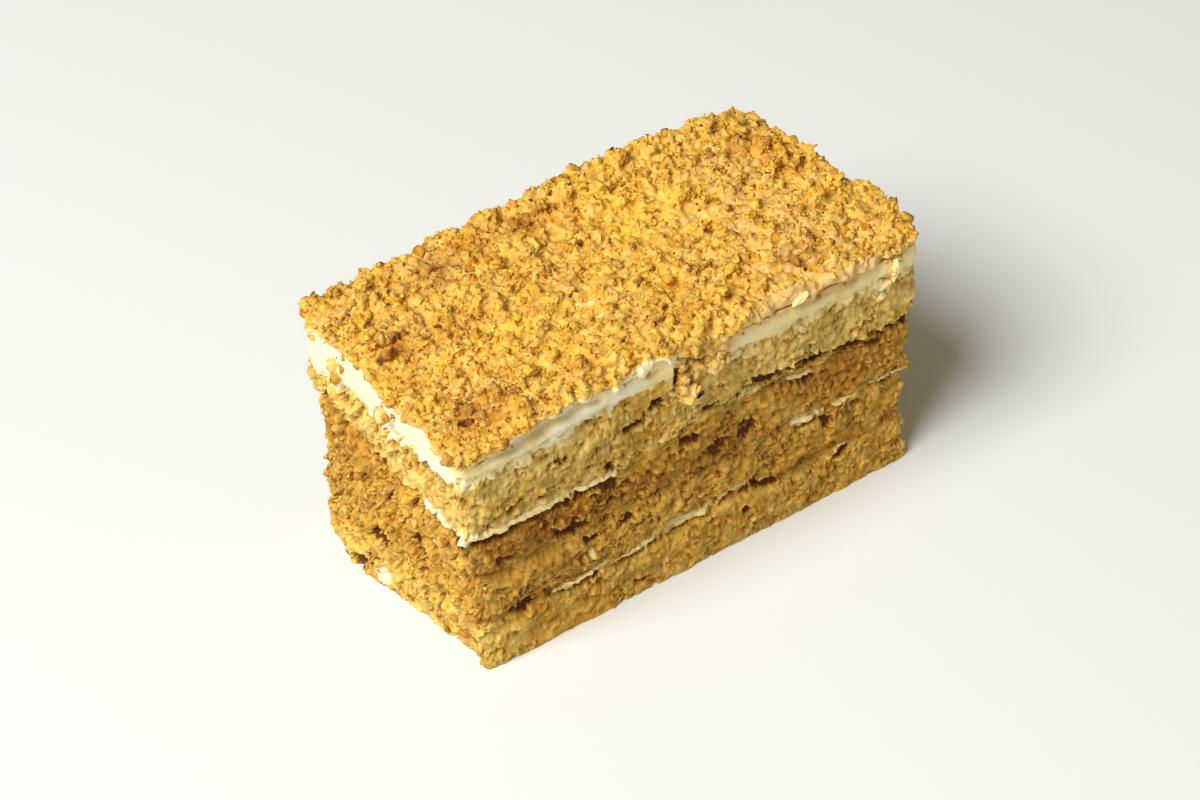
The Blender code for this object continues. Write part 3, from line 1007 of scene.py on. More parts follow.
# %% Crumb colour group
GOLD_PATCHES = Mottle(0.3, 5.0, 0.36, 0.64)
GOLD_SHARE = 0.6
AMBER_SPOTS = Mottle(0.6, 5.0, 0.5, 0.66)
AMBER_AREAS = Mottle(0.09, 3.0, 0.45, 0.65)
AMBER_RANGE = (0.35, 0.9)
TOAST_AND_SHADE_RANGE = (0.45, 1.0)
HIGHLIGHT_ON_PEAKS = 0.55
TINT_LIGHT = (0.88, 1.18)
AMBER_SHADE_IN_HOLLOWS = (0.05, 0.6, 0.0, 0.75)
DEEP_SHADE_IN_HOLLOWS = (0.45, 1.0)
FINE_NOISE = (0.8, 7.0, 0.66)
FINE_RANGE = (0.32, 0.68)
FINE_LIGHT = (0.76, 1.22)


def crumb_group():
    inputs = {**dict.fromkeys(CRUMB_SHADES, "Color"), **dict.fromkeys(CRUMB_MASKS, "Float")}
    w, given = new_tree("Crumb colour", "ShaderNodeTree", inputs, GROUP_OUTPUTS)
    place = w.place()
    patch = mottled(w, place, GOLD_PATCHES) * GOLD_SHARE + given["Tint"] * (1 - GOLD_SHARE)
    spot = mottled(w, place, AMBER_SPOTS) * mottled(w, place, AMBER_AREAS, *AMBER_RANGE)
    # Toast, and painted shade on the long faces, turn the crumb amber.
    spot = w.math("MAXIMUM", spot, given["Toast_and_shade"] * w.step(patch, 0.0, 1.0, *TOAST_AND_SHADE_RANGE))
    colour = w.mix(patch, given["Pale"], given["Gold"])
    colour = w.mix(spot, colour, given["Amber"])
    # Painted highlight: the peaks of the crumb turn pale.
    colour = w.mix(given["Peak"] * HIGHLIGHT_ON_PEAKS, colour, given["Pale"])
    colour = shaded(w, colour, given["Tint"], 0.0, 1.0, *TINT_LIGHT)
    # Painted shade: the hollows turn amber, and the deepest take the colour of the hollow shade.
    colour = w.mix(w.step(given["Hollow"], *AMBER_SHADE_IN_HOLLOWS), colour, given["Amber"])
    colour = w.mix(w.step(given["Hollow"], *DEEP_SHADE_IN_HOLLOWS), colour, given["Hollow shade"])
    fine = w.noise(place, *FINE_NOISE)
    w.put("NodeGroupOutput", {"Colour": shaded(w, colour, fine, *FINE_RANGE, *FINE_LIGHT), "Height": fine})
    return w.tree


crumb_colours = crumb_group()
print("crumb colour group:", len(crumb_colours.nodes), "nodes")

# %% [markdown]
# ## Colours of cream
#
# Fresh cream is ivory. Where it soaked up honey it is butter yellow, and where it dried with crumb
# in it, beige. One number says how stale it is, and a loose noise varies that from place to place.
# The same number also paints warm shade: the cream on the long faces and on the bits in front turns
# butter yellow and beige there.

# %% Cream colour group
IVORY = (249, 243, 210)
BUTTER = (250, 228, 160)
BEIGE = (228, 188, 124)
STALE_PATCHES = Mottle(0.25, 4.0, 0.4, 0.7)
STALE_CHANGE = (-0.3, 0.4)
TO_BUTTER = (0.0, 1.0)
TO_BEIGE = (1.1, 2.0)
CREAM_GRAIN = (0.9, 3.0)


def cream_group():
    inputs = {"Ivory": linear(*IVORY), "Butter": linear(*BUTTER), "Beige": linear(*BEIGE), "Stale and shade": "Float"}
    w, given = new_tree("Cream colour", "ShaderNodeTree", inputs, GROUP_OUTPUTS)
    place = w.place()
    stale_and_shade = given["Stale and shade"] + mottled(w, place, STALE_PATCHES, *STALE_CHANGE)
    colour = w.mix(w.step(stale_and_shade, *TO_BUTTER), given["Ivory"], given["Butter"])
    colour = w.mix(w.step(stale_and_shade, *TO_BEIGE), colour, given["Beige"])
    w.put("NodeGroupOutput", {"Colour": colour, "Height": w.noise(place, *CREAM_GRAIN)})
    return w.tree


cream_colours = cream_group()
print("cream colour group:", len(cream_colours.nodes), "nodes")

# %% [markdown]
# ## The material of a layer
#
# A cut layer is dry crumb with moist cream smeared over parts of it. Two materials with a hard
# border would look stuck on. One material that mixes both by the relief's own cream mask keeps
# the border where the shape changes. Cream has a soft sheen, crumb has none.

# %% Material helpers
def new_material(name):
    """A material, the wiring of its tree and its shader."""
    material = bpy.data.materials.new(name)
    material.use_nodes = True
    return material, Wiring(material.node_tree), material.node_tree.nodes["Principled BSDF"]


def crumb_colour(w, shades):
    """The crumb group in a material, with four colours of its own."""
    inputs = {name: w.read(name.lower()) for name in CRUMB_MASKS}
    inputs.update({name: linear(*shade) for name, shade in zip(CRUMB_SHADES, shades)})
    return w.wires(w.put("ShaderNodeGroup", inputs, node_tree=crumb_colours))


def cream_colour(w):
    return w.wires(w.put("ShaderNodeGroup", {"Stale and shade": w.read("stale_and_shade")}, node_tree=cream_colours))


def fill_shader(w, shader, colour, roughness, sheen, height, bump):
    """Fills a material's shader. The bump is how strong and how deep the height shows."""
    inputs = {"Strength": bump[0], "Distance": bump[1], "Height": height}
    normal = w.wire("ShaderNodeBump", inputs)
    w.fill(shader, {"Base Color": colour, "Normal": normal})
    w.fill(shader, {"Roughness": roughness, "Specular IOR Level": sheen})


print("material helpers ready")

# %% Layer material
CRUMB_ROUGHNESS = 0.88
CREAM_ROUGHNESS = 0.42
LAYER_SHEEN = 0.35
LAYER_BUMP = (0.6, 0.25 * MM)
# Each finish: pale, gold and amber crumb, then the painted shade colour of its hollows.
LAYER_SHADES = {
    "foot": ("foot_crumb", (234, 202, 110), (210, 168, 74), (184, 130, 34), (100, 58, 24)),
    "dark": ("dark_crumb", (220, 177, 84), (190, 142, 46), (156, 100, 20), (100, 58, 26)),
    "pale": ("pale_crumb", (236, 206, 124), (212, 174, 84), (188, 142, 50), (96, 56, 24)),
    "cream": ("drawn_cream", (238, 212, 128), (220, 178, 84), (202, 144, 44), (112, 68, 28)),
}


def layer_material(name, *shades):
    material, w, shader = new_material(name)
    cream = w.read("cream")
    dry, moist = crumb_colour(w, shades), cream_colour(w)
    colour = w.mix(cream, dry["Colour"], moist["Colour"])
    height = w.between(cream, dry["Height"], moist["Height"])
    roughness = cream * (CREAM_ROUGHNESS - CRUMB_ROUGHNESS) + CRUMB_ROUGHNESS
    fill_shader(w, shader, colour, roughness, LAYER_SHEEN, height, LAYER_BUMP)
    return material


finishes = {finish: layer_material(*row) for finish, row in LAYER_SHADES.items()}
print("materials:", sorted(finishes))

# %% [markdown]
# ## The eight layers
#
# Each layer is the fine wall of its solid, with the relief on it. The long faces were cut with a
# knife, so their crumb is calm, while the ends were torn. The coat's lower border is ragged: the
# cream thins out over the top sponge, and the sponge shows through the foot of the coat. Under a
# ribbon of cream the sponge below is torn away a little, and painted shade in that tear draws the
# dark line of the ribbon's shadow there.

# %% Layers
Layer = namedtuple("Layer", "node finish slot film")
LAYERS = (
    Layer("sponge_base", "foot", "sponge_base", "none"),
    Layer("cream_seam_lower", "dark", "seam_cream", "none"),
    Layer("sponge_lower", "dark", "sponge_lower", "none"),
    Layer("cream_seam_middle", "dark", "seam_cream", "none"),
    Layer("sponge_middle", "dark", "sponge_middle", "none"),
    Layer("cream_seam_upper", "dark", "seam_cream", "none"),
    Layer("sponge_upper", "pale", "sponge_upper", "above"),
    Layer("cream_top", "cream", "top_cream", "coat"),
)
print("layers from below:", [layer.node for layer in LAYERS])

# %% What a layer's points know
ROUGH_HEIGHTS = (0, 2.5, 8, 12, 31, 36, 47)
ROUGH_AMOUNTS = (0.25, 0.75, 0.85, 1.0, 1.0, 0.85, 0.7)
# Painted warm shade on the long faces, by height.
LONG_FACE_SHADE_HEIGHTS = (28, 36, 46)
LONG_FACE_SHADE_AMOUNTS = (1.1, 0.7, 1.0)
LONG_FACE_TOAST_AND_SHADE_HEIGHTS = (9, 13)
LONG_FACE_TOAST_AND_SHADE = (0.9, 0.25)
STALE_SPOTS = {
    "front": (
        (-26.0, 50.0, 17.0, 4.0, -0.65),
        (26.0, 51.6, 18.0, 2.2, 1.0),
        (30.0, 48.6, 7.0, 2.6, 0.5),
        (2.0, 49.0, 6.0, 8.0, 0.5),
        (-24.0, 15.0, 3.0, 3.0, 0.6),
    ),
    "left": ((-13.0, 24.0, 6.0, 2.0, 1.6),),
}
FRONT_CALM = 1.0
BACK_CALM = 0.85
RIBBON_STAND = 0.3
FILM_AT_COAT = 0.62
FILM_DEPTH = {"front": 2.2, "left": 0.6, "back": 1.8, "right": 1.2}
COAT_FOOT = 2.0
COAT_FULL = 2.2
SPILL_STAND = 1.0
SPILL_BARE = 1.4


def film_depth(outward):
    """How far the coat's film hangs down at each sample, in mm, mixed by which way it looks."""
    depth, total = np.zeros(SAMPLES), np.zeros(SAMPLES)
    for side, (out_x, out_y) in SIDES.items():
        share = np.clip(outward[:, 0] * out_x + outward[:, 1] * out_y, 0, 1) ** 2
        depth += share * FILM_DEPTH[side]
        total += share
    return depth / total


def surface_values(layer):
    """What the relief and the colours have to know at each point of a layer's wall."""
    wall = walls[layer.node]
    places = in_plan(wall.rows)
    directions = np.broadcast_to(wall.outward, places.shape)
    low, high = places[0], places[-1]
    over_low, under_high = places[..., 2] - low[:, 2], high[:, 2] - places[..., 2]
    bare = spot_values(places, directions, SMEARS)
    tear = spot_values(places, directions, TEARS)
    shown, torn = ribbon_values(places, directions)
    bare, tear = bare + shown, tear + torn
    if layer.film == "above":
        bare = bare + FILM_AT_COAT * np.exp(-((under_high / film_depth(wall.outward)) ** 2))
    elif layer.film == "coat":
        bare = bare + FILM_AT_COAT + (COAT_FULL - FILM_AT_COAT) * np.clip(over_low / COAT_FOOT, 0, 1)
    spill = spot_values(places, directions, SPILLS)
    long_face = np.abs(wall.outward[:, 1]) ** 2
    calm = np.where(wall.outward[:, 1] < 0, FRONT_CALM, BACK_CALM) * long_face
    # Painted warm shade: the cream on the long faces turns butter yellow and beige by height.
    stale_and_shade = np.interp(places[..., 2], LONG_FACE_SHADE_HEIGHTS, LONG_FACE_SHADE_AMOUNTS) * long_face
    # Painted shade on the long faces, partly crumb that the knife pressed darker: they turn amber, most on
    # the lowest sponge.
    long_face_toast_and_shade = np.interp(places[..., 2], LONG_FACE_TOAST_AND_SHADE_HEIGHTS, LONG_FACE_TOAST_AND_SHADE)
    return {
        "outward": directions,
        "bare": bare - SPILL_BARE * spill,
        "tear": tear,
        "stand": RIBBON_STAND * shown + SPILL_STAND * np.minimum(spill, 1),
        "calm": calm * (1 - np.clip(spill, 0, 1)),
        "rough": np.maximum(np.interp(places[..., 2], ROUGH_HEIGHTS, ROUGH_AMOUNTS), np.clip(spill, 0, 1)),
        "toast_and_shade": spot_values(places, directions, TOAST_AND_SHADE_SPOTS) + long_face_toast_and_shade * long_face,
        "stale_and_shade": stale_and_shade + spot_values(places, directions, STALE_SPOTS),
        "spill": np.clip(spill, 0, 1),
    }


print("the coat's film hangs down, in mm:", FILM_DEPTH)

# %% [markdown]
# ## One skin, then a cut
#
# Crumb that ends at each seam would draw a line there. So the relief is worked out once, on one
# skin over all eight walls. The skin is then cut at the rims into the layers' own pieces.

# %% One skin
EASE = 5
MARKS = ("hollow", "peak", "tint", "cream", "toast_and_shade", "stale_and_shade", "spill")


def stacked(parts):
    """The arrays of all layers as one. Two neighbours share the row where they meet."""
    return np.concatenate([part[:-1] for part in parts[:-1]] + [parts[-1]])


def eased(rows):
    """The rows with the steps from one layer to the next smoothed. Their heights stay."""
    padded = np.concatenate([rows[:1]] * EASE + [rows] + [rows[-1:]] * EASE)[..., :2]
    window = range(2 * EASE + 1)
    result = rows.copy()
    result[..., :2] = sum(padded[shift : shift + len(rows)] for shift in window) / len(window)
    return result


def whole_skin():
    """All walls as one open wall with the relief on it."""
    rows = eased(stacked([walls[layer.node].rows for layer in LAYERS]))
    skin = wall_object("skin", Wall(rows, (), None))
    values = [surface_values(layer) for layer in LAYERS]
    for name in values[0]:
        write_attribute(skin.data, name, stacked([value[name] for value in values]))
    return apply_tree(skin, relief, {})


skin = whole_skin()
skin_rows = read_points(skin.data).reshape(-1, SAMPLES, 3)
skin_marks = {name: read_attribute(skin.data, name).reshape(-1, SAMPLES) for name in MARKS}
bpy.data.objects.remove(skin, do_unlink=True)
print("skin has", skin_rows.shape[0], "rows of", SAMPLES, "points")

# %% Cut layers
def cut_layer(layer, rows, marks):
    """The layer's own rows of the skin, closed and finished as a piece of its own."""
    wall = walls[layer.node]
    piece = wall_object(layer.node + "_crumb", Wall(rows, wall.ends, wall.outward))
    for name, values in marks.items():
        write_attribute(piece.data, name, np.append(values.ravel(), (0, 0)))
    piece.data.materials.append(finishes[layer.finish])
    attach(piece, "root")
    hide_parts(layer.node)
    return piece


layers = {}
first = 0
for layer in LAYERS:
    last = first + len(walls[layer.node].rows)
    marks = {name: values[first:last] for name, values in skin_marks.items()}
    layers[layer.node] = cut_layer(layer, skin_rows[first:last], marks)
    first = last - 1
    print(layer.node, "has", len(layers[layer.node].data.polygons), "faces")

# %% [markdown]
# ## Scattered crumbs
#
# Thousands of crumbs lie on the slice, each with its own size, turn and shape. Modelling one and
# copying it would show. A second Geometry Nodes tree spreads points over a surface, puts a small
# ball on each, realizes them all, and lets noise pull every ball out of shape. Each crumb also
# keeps a random tint, so that its material can colour it as one piece.

# %% Scatter tree
GRAIN_INPUTS = {
    "Sides": 2,
    "Smooth": True,
    "Seed": 1,
    "Density": 1.5,
    "Smallest": 0.6,
    "Largest": 1.6,
    "Size power": 2.0,
    "Flatness": 0.6,
    "Lean": 1.2,
    "Uneven": 0.5,
    "Sink": 0.2,
    "Lowest facing": -0.3,
}
BALL_RADIUS = 0.5 * MM
NARROWEST = 0.6
FLATNESS_SPREAD = 1.6
PULL_WAVES = 2.1
PULL_REACH = 2 * MM


def spread_points(w, given, dice):
    """Points over the surface, each with a size and a tint, lifted so that its grain lies half in."""
    up = w.wire("ShaderNodeSeparateXYZ", {0: w.wire("GeometryNodeInputNormal")}, 2)
    density = w.math("GREATER_THAN", up, given["Lowest facing"]) * (1.0 - w.read("clear"))
    density = density * (given["Density"] * (1 / MM**2))
    inputs = {"Mesh": given["Geometry"], "Density": density, "Seed": given["Seed"]}
    spread = w.wires(w.put("GeometryNodeDistributePointsOnFaces", inputs, distribute_method="RANDOM"))
    size = w.math("POWER", dice(0.0, 1.0, 1), given["Size power"])
    size = size * (given["Largest"] - given["Smallest"]) + given["Smallest"]
    points = stored(w, spread["Points"], "grain", size)
    points = stored(w, points, "tint", dice(0.0, 1.0, 2))
    lift = spread["Normal"] * (w.read("grain") * ((0.5 - given["Sink"]) * MM))
    return w.wire("GeometryNodeSetPosition", {"Geometry": points, "Offset": lift}), spread["Rotation"]


def scatter_tree():
    shape = {"Geometry": "Geometry"}
    inputs = {**shape, "Material": "Material", **GRAIN_INPUTS}
    w, given = new_tree("Scattered grains", "GeometryNodeTree", inputs, shape)

    def dice(low, high, turn):
        inputs = {2: low, 3: high, "Seed": given["Seed"] + turn}
        return w.wire("FunctionNodeRandomValue", inputs, 1, data_type="FLOAT")

    points, facing = spread_points(w, given, dice)
    ball = w.wire("GeometryNodeMeshIcoSphere", {"Radius": BALL_RADIUS, "Subdivisions": given["Sides"]})
    back = given["Lean"] * -1.0
    turns = w.xyz(dice(back, given["Lean"], 3), dice(back, given["Lean"], 4), dice(0.0, math.tau, 5))
    inputs = {"Rotation": facing, "Rotate By": turns}
    rotation = w.wire("FunctionNodeRotateRotation", inputs, rotation_space="LOCAL")
    flat = dice(given["Flatness"], given["Flatness"] * FLATNESS_SPREAD, 7)
    scale = w.xyz(1.0, dice(NARROWEST, 1.0, 6), flat) * w.read("grain")
    inputs = {"Points": points, "Instance": ball, "Rotation": rotation, "Scale": scale}
    grains = w.wire("GeometryNodeInstanceOnPoints", inputs)
    grains = w.wire("GeometryNodeRealizeInstances", {"Geometry": grains})
    size = w.read("grain")
    pull = w.noise(w.place(), PULL_WAVES / size, output=1) - 0.5
    grains = moved(w, grains, pull * (size * given["Uneven"] * PULL_REACH))
    inputs = {"Geometry": grains, "Shade Smooth": given["Smooth"]}
    return put_out(w, w.wire("GeometryNodeSetShadeSmooth", inputs), given["Material"])


scatter = scatter_tree()
print("scatter tree:", len(scatter.nodes), "nodes")

# %% [markdown]
# ## The bed of the topping
#
# The topping is crumb that was pressed on and stuck together, like the crust of a crumble. Its
# form is the frame's own topping, grains and all. Crumbs are first scattered over that form, then
# a voxel remesh melts them into it as one skin with small even faces, overhangs and creases. Its
# hidden underside is swapped for one flat face, which leaves more faces for the top.

# %% Topping bed
BED_VOXEL = 0.368 * MM
BED_SMOOTH = 2
BED_CRUMBS = {
    "Density": 0.5,
    "Smallest": 1.4,
    "Largest": 3.6,
    "Flatness": 0.5,
    "Lean": 0.8,
    "Seed": 21,
    "Sink": 0.62,
    "Uneven": 0.72,
}
UNDERSIDE_INSET = 1.6 * MM
UNDERSIDE_FACING = -0.2
UNDERSIDE_TOP = walls["cream_top"].rows[-1][:, 2].max() + 0.6 * MM


@contextmanager
def editing(mesh):
    """The mesh as a bmesh, which is written back at the end."""
    bm = bmesh.new()
    bm.from_mesh(mesh)
    yield bm
    bm.to_mesh(mesh)
    bm.free()


def add_crumbs(mesh):
    """Joins scattered crumbs on, still as separate shells."""
    with editing(mesh) as bm:
        crumbs = apply_tree(added("crumbs", mesh.copy()), scatter, BED_CRUMBS)
        bm.from_mesh(crumbs.data)
        bpy.data.objects.remove(crumbs, do_unlink=True)


def flatten_underside(mesh, low, high):
    """Swaps the faces over the hidden cream for one face."""
    inner = [(low[axis] + UNDERSIDE_INSET, high[axis] - UNDERSIDE_INSET) for axis in (0, 1)]
    with editing(mesh) as bm:
        bm.normal_update()
        hidden = []
        for face in bm.faces:
            place = face.calc_center_median()
            inside = all(start < place[axis] < end for axis, (start, end) in enumerate(inner))
            if inside and face.normal.z < UNDERSIDE_FACING and place.z < UNDERSIDE_TOP:
                hidden.append(face)
        bmesh.ops.delete(bm, geom=hidden, context="FACES")
        edges = [edge for edge in bm.edges if edge.is_boundary]
        bmesh.ops.holes_fill(bm, edges=edges, sides=0)
        bmesh.ops.triangulate(bm, faces=[face for face in bm.faces if len(face.verts) > 4])


def topping_bed():
    solid = closed_copy("crumb_topping")
    mesh = bpy.data.meshes.new("topping_bed")
    solid.to_mesh(mesh)
    solid.free()
    add_crumbs(mesh)
    piece = added("topping_bed", mesh)
    remesh = piece.modifiers.new("even_faces", "REMESH")
    remesh.mode = "VOXEL"
    remesh.voxel_size = BED_VOXEL
    smooth = piece.modifiers.new("smooth", "SMOOTH")
    smooth.iterations = BED_SMOOTH
    evaluated = piece.evaluated_get(bpy.context.evaluated_depsgraph_get())
    piece.data = bpy.data.meshes.new_from_object(evaluated)
    piece.modifiers.clear()
    flatten_underside(piece.data, *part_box("crumb_topping"))
    piece.data.shade_smooth()
    return piece


bed = topping_bed()
print("topping bed has", len(bed.data.polygons), "faces")

# %% [markdown]
# ## The finish of the topping
#
# The topping is not one colour. Most chunks are golden crumb, some are beige walnut, and whole
# areas are sunnier, nuttier or more toasted than others. Each chunk of the relief has a random
# number, and where that number is high the chunk is walnut. The spots say how often that happens.

# %% Topping material
# Pale, gold and amber crumb, then the painted shade colour of the hollows.
GOLDEN = ((240, 201, 106), (228, 174, 62), (206, 140, 34), (132, 78, 30))
WALNUT = ((228, 194, 112), (204, 162, 78), (180, 130, 50), (116, 72, 36))
SUNLIT = (252, 202, 78)
LOOSE_NOISE = (0.5, 3.0)
SUNNY_RANGE = (0.3, 1.0, 0.0, 0.8)
NUT_SHARE = 0.14
NUT_MORE = 0.55
NUT_LOOSE = 0.3
NUT_EDGE = (-0.03, 0.05)
PASTE_SHARE = 0.85
TOPPING_ROUGHNESS = 0.66
GRAIN_SHEEN = 0.4
TOPPING_BUMP = (0.5, 0.2 * MM)


def topping_material(name):
    material, w, shader = new_material(name)
    golden, walnut, paste = crumb_colour(w, GOLDEN), crumb_colour(w, WALNUT), cream_colour(w)
    loose = w.swing(w.place(), *LOOSE_NOISE)
    sunny = w.step(w.read("sunny") + loose, *SUNNY_RANGE)
    colour = w.mix(sunny, golden["Colour"], linear(*SUNLIT))
    chosen = w.read("tint") + (w.read("nutty") * NUT_MORE + NUT_SHARE) - 1.0
    nut = w.step(loose * NUT_LOOSE + chosen, *NUT_EDGE)
    colour = w.mix(nut, colour, walnut["Colour"])
    colour = w.mix(w.read("cream") * PASTE_SHARE, colour, paste["Colour"])
    fill_shader(w, shader, colour, TOPPING_ROUGHNESS, GRAIN_SHEEN, golden["Height"], TOPPING_BUMP)
    return material


finishes["topping"] = topping_material("topping_crumb")
print("topping finish:", finishes["topping"].name)

# %% [markdown]
# ## Dressing the bed
#
# Close to the coat the crumbs are smeared with cream and turn beige. The relief tree is told so
# with the same attributes as on the layers, this time from the height over the coat's upper rim.

# %% Bed finish
COAT_REACH = 1.1
BEIGE_AT_COAT = 0.6
CREAM_STALE = 2.0
CREAM_FRESHER = 2.4
BEIGE_SPOTS = {
    "front": ((26.0, 52.6, 17.0, 2.4, 1.0), (2.0, 50.0, 7.0, 4.0, 0.3)),
    "left": ((-12.0, 51.0, 9.0, 1.4, 0.5),),
}
CREAM_SPOTS = {
    "front": (
        (-37.0, 50.2, 8.0, 1.7, 0.8),
        (-23.0, 51.4, 9.0, 1.9, 0.9),
        (-10.0, 52.4, 6.0, 2.1, 0.9),
        (-46.0, 49.0, 3.0, 1.2, 0.5),
    ),
    "left": ((21.0, 50.4, 5.0, 1.2, 0.5),),
}
BED_RELIEF = {
    "Chunk size": 2.6,
    "Chunk tilt": 0.34,
    "Chunk step": 0.28,
    "Crumb size": 1.2,
    "Crumb tilt": 0.34,
    "Crumb step": 0.18,
    "Crease depth": 0.18,
    "Grit height": 0.5,
    "Drag length": 3.2,
    "Drag height": 0.8,
    "Lump size": 1.3,
    "Lump height": 0.8,
    "Pit start": 0.68,
    "Pit depth": 0.5,
    "Tear depth": 0.9,
    "Crack length": 4.5,
    "Crack width": 0.026,
    "Crack depth": 0.5,
    "Droop": 0.0,
}


def height_over_coat(places):
    """How high each point lies over the nearest place of the coat's upper rim."""
    rim_places = in_plan(walls["cream_top"].rows[-1])
    tree = KDTree(SAMPLES)
    for index, place in enumerate(rim_places):
        tree.insert((place[0], place[1], 0), index)
    tree.balance()
    return np.array([place[2] - rim_places[tree.find((place[0], place[1], 0))[1], 2] for place in places])


def finish_bed(piece):
    mesh = piece.data
    places = in_plan(read_points(mesh))
    directions = read_points(mesh, "normal")
    over = np.maximum(height_over_coat(places), 0)
    bare = BEIGE_AT_COAT * np.exp(-((over / COAT_REACH) ** 2)) * np.clip(1 - directions[:, 2], 0, 1)
    ivory = spot_values(places, directions, CREAM_SPOTS)
    bare += spot_values(places, directions, BEIGE_SPOTS) + ivory
    write_attribute(mesh, "outward", directions)
    write_attribute(mesh, "bare", bare)
    write_attribute(mesh, "rough", np.ones(len(places)))
    write_attribute(mesh, "stale_and_shade", CREAM_STALE - CREAM_FRESHER * np.clip(ivory, 0, 1))
    for name, spots in (("tear", PITS_WITH_PAINTED_SHADE), ("toast_and_shade", TOAST_AND_SHADE_SPOTS), ("sunny", SUNNY), ("nutty", NUTTY)):
        write_attribute(mesh, name, spot_values(places, directions, spots))
    apply_tree(piece, relief, {"Material": finishes["topping"], **BED_RELIEF})
    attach(piece, "root")
    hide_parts("crumb_topping")


finish_bed(bed)
print("bed cream share:", round(float(read_attribute(bed.data, "cream").mean()), 3))

# %% [markdown]
# ## Colours of the grains
#
# Golden crumbs run from pale yellow to deep amber, like set honey. Walnut is beige inside, with
# scraps of dark skin. Each grain's random tint picks its colour from a ramp, and a fine noise
# breaks it up. Golden crumbs also follow the toasted and the sunny areas of the topping.

# %% Grain material
AREAS = (0.12, 3.0)
FINE_BREAKS = (1.8, 3.0)
FINE_SHARE = 0.4
TOAST_AND_SHADE_TINT = 0.35
SUNNY_TINT = 0.4
GRAIN_BUMP = (0.6, 0.2 * MM)
GRAIN_COLOURS = {
    "golden": {
        0.0: (246, 206, 94),
        0.3: (235, 188, 72),
        0.6: (222, 168, 54),
        0.85: (206, 146, 42),
        1.0: (188, 134, 58),
    },
    "walnut": {0.0: (236, 200, 120), 0.4: (222, 176, 90), 0.8: (202, 150, 68), 1.0: (168, 116, 48)},
    "skin": {0.0: (150, 92, 44), 0.5: (104, 58, 28), 1.0: (66, 38, 26)},
    "spill": {0.0: (248, 222, 156), 0.35: (240, 204, 122), 0.7: (226, 180, 88), 1.0: (202, 148, 56)},
    "sponge": {0.0: (232, 190, 108), 0.5: (212, 162, 76), 0.85: (196, 140, 54), 1.0: (178, 122, 46)},
}


def colour_ramp(w, tint, colours):
    """A ramp of colours, each at its tint."""
    ramp = w.put("ShaderNodeValToRGB", {"Fac": tint})
    stops = ramp.color_ramp.elements
    while len(stops) < len(colours):
        stops.new(0.5)
    for stop, (at, colour) in zip(stops, colours.items()):
        stop.position = at
        stop.color = linear(*colour)
    return w.wires(ramp)["Color"]


def grain_material(name, finish, roughness, patchy=0.0):
    material, w, shader = new_material(name)
    place = w.place()
    fine = w.noise(place, *FINE_BREAKS)
    tint = w.swing(place, *AREAS) * patchy + w.read("tint")
    tint = w.read("toast_and_shade") * (TOAST_AND_SHADE_TINT * patchy) + tint
    tint = w.read("sunny") * (-SUNNY_TINT * patchy) + tint
    tint = (fine - 0.5) * FINE_SHARE + tint
    colour = colour_ramp(w, tint, GRAIN_COLOURS[finish])
    fill_shader(w, shader, colour, roughness, GRAIN_SHEEN, fine, GRAIN_BUMP)
    return material


grain_finishes = {
    "golden": grain_material("golden_crumb", "golden", 0.66, 1.3),
    "walnut": grain_material("walnut_flesh", "walnut", 0.65),
    "skin": grain_material("walnut_skin", "skin", 0.5),
    "spill": grain_material("spilt_crumb", "spill", 0.75),
    "sponge": grain_material("sponge_grain", "sponge", 0.8),
}
print("grain materials:", sorted(grain_finishes))

# %% [markdown]
# ## The grains of the topping
#
# Loose crumbs lie over the bed, walnut chips stick out of it, and scraps of walnut skin make the
# dark specks. Each kind is one joined mesh. Fine crumbs have twenty faces, larger grains eighty,
# because there are thousands of them.

# %% Topping grains
Kind = namedtuple("Kind", "name finish seed density smallest largest more")
FINE = {"Sides": 1, "Flatness": 0.5, "Sink": 0.5, "Uneven": 0.7}
COARSE = {"Size power": 1.4, "Flatness": 0.5, "Lean": 0.8, "Sink": 0.72, "Uneven": 0.7, "Lowest facing": 0.0}
BITS_OF_NUT = {"Flatness": 0.5, "Lean": 0.8, "Sink": 0.68, "Uneven": 0.7, "Lowest facing": 0.3}
SCRAPS = {"Sides": 1, "Smooth": False, "Flatness": 0.2, "Lean": 0.3, "Sink": 0.5}
TOPPING_KINDS = (
    Kind("crumbs_fine", "golden", 3, 0.4, 0.4, 1.2, FINE),
    Kind("crumbs_coarse", "golden", 5, 0.12, 1.1, 2.6, COARSE),
    Kind("walnut_bits", "walnut", 8, 0.24, 1.0, 2.7, BITS_OF_NUT),
    Kind("walnut_skins", "skin", 13, 0.02, 0.5, 1.3, SCRAPS),
)
NUT_BASE = 0.15
CREAM_CLEAR = 1.2


def scattered(kind, surface):
    """One kind of grain over a surface, as a plain mesh of its own."""
    values = {"Material": grain_finishes[kind.finish], "Seed": kind.seed, "Density": kind.density}
    values.update({"Smallest": kind.smallest, "Largest": kind.largest, **kind.more})
    piece = apply_tree(added(kind.name, surface), scatter, values)
    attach(piece, "root")
    print(kind.name, "has", len(piece.data.polygons), "faces")


for kind in TOPPING_KINDS:
    surface = bed.data.copy()
    clear = CREAM_CLEAR * read_attribute(surface, "cream") + read_attribute(surface, "hollow")
    if kind.finish == "walnut":
        clear = np.maximum(clear, 1 - NUT_BASE - read_attribute(surface, "nutty"))
    write_attribute(surface, "clear", np.clip(clear, 0, 1))
    scattered(kind, surface)

# %% [markdown]
# ## Crumbs on the sides
#
# Cutting and tearing left crumbs on the sides too: many on the torn ends, few on the long cut
# faces. On the coat only its upper part carries some, and where topping spilt over the coat they
# lie thick. The same tree spreads them, on a copy of each side that has lost its fans, with the
# share that stays clear written on it.

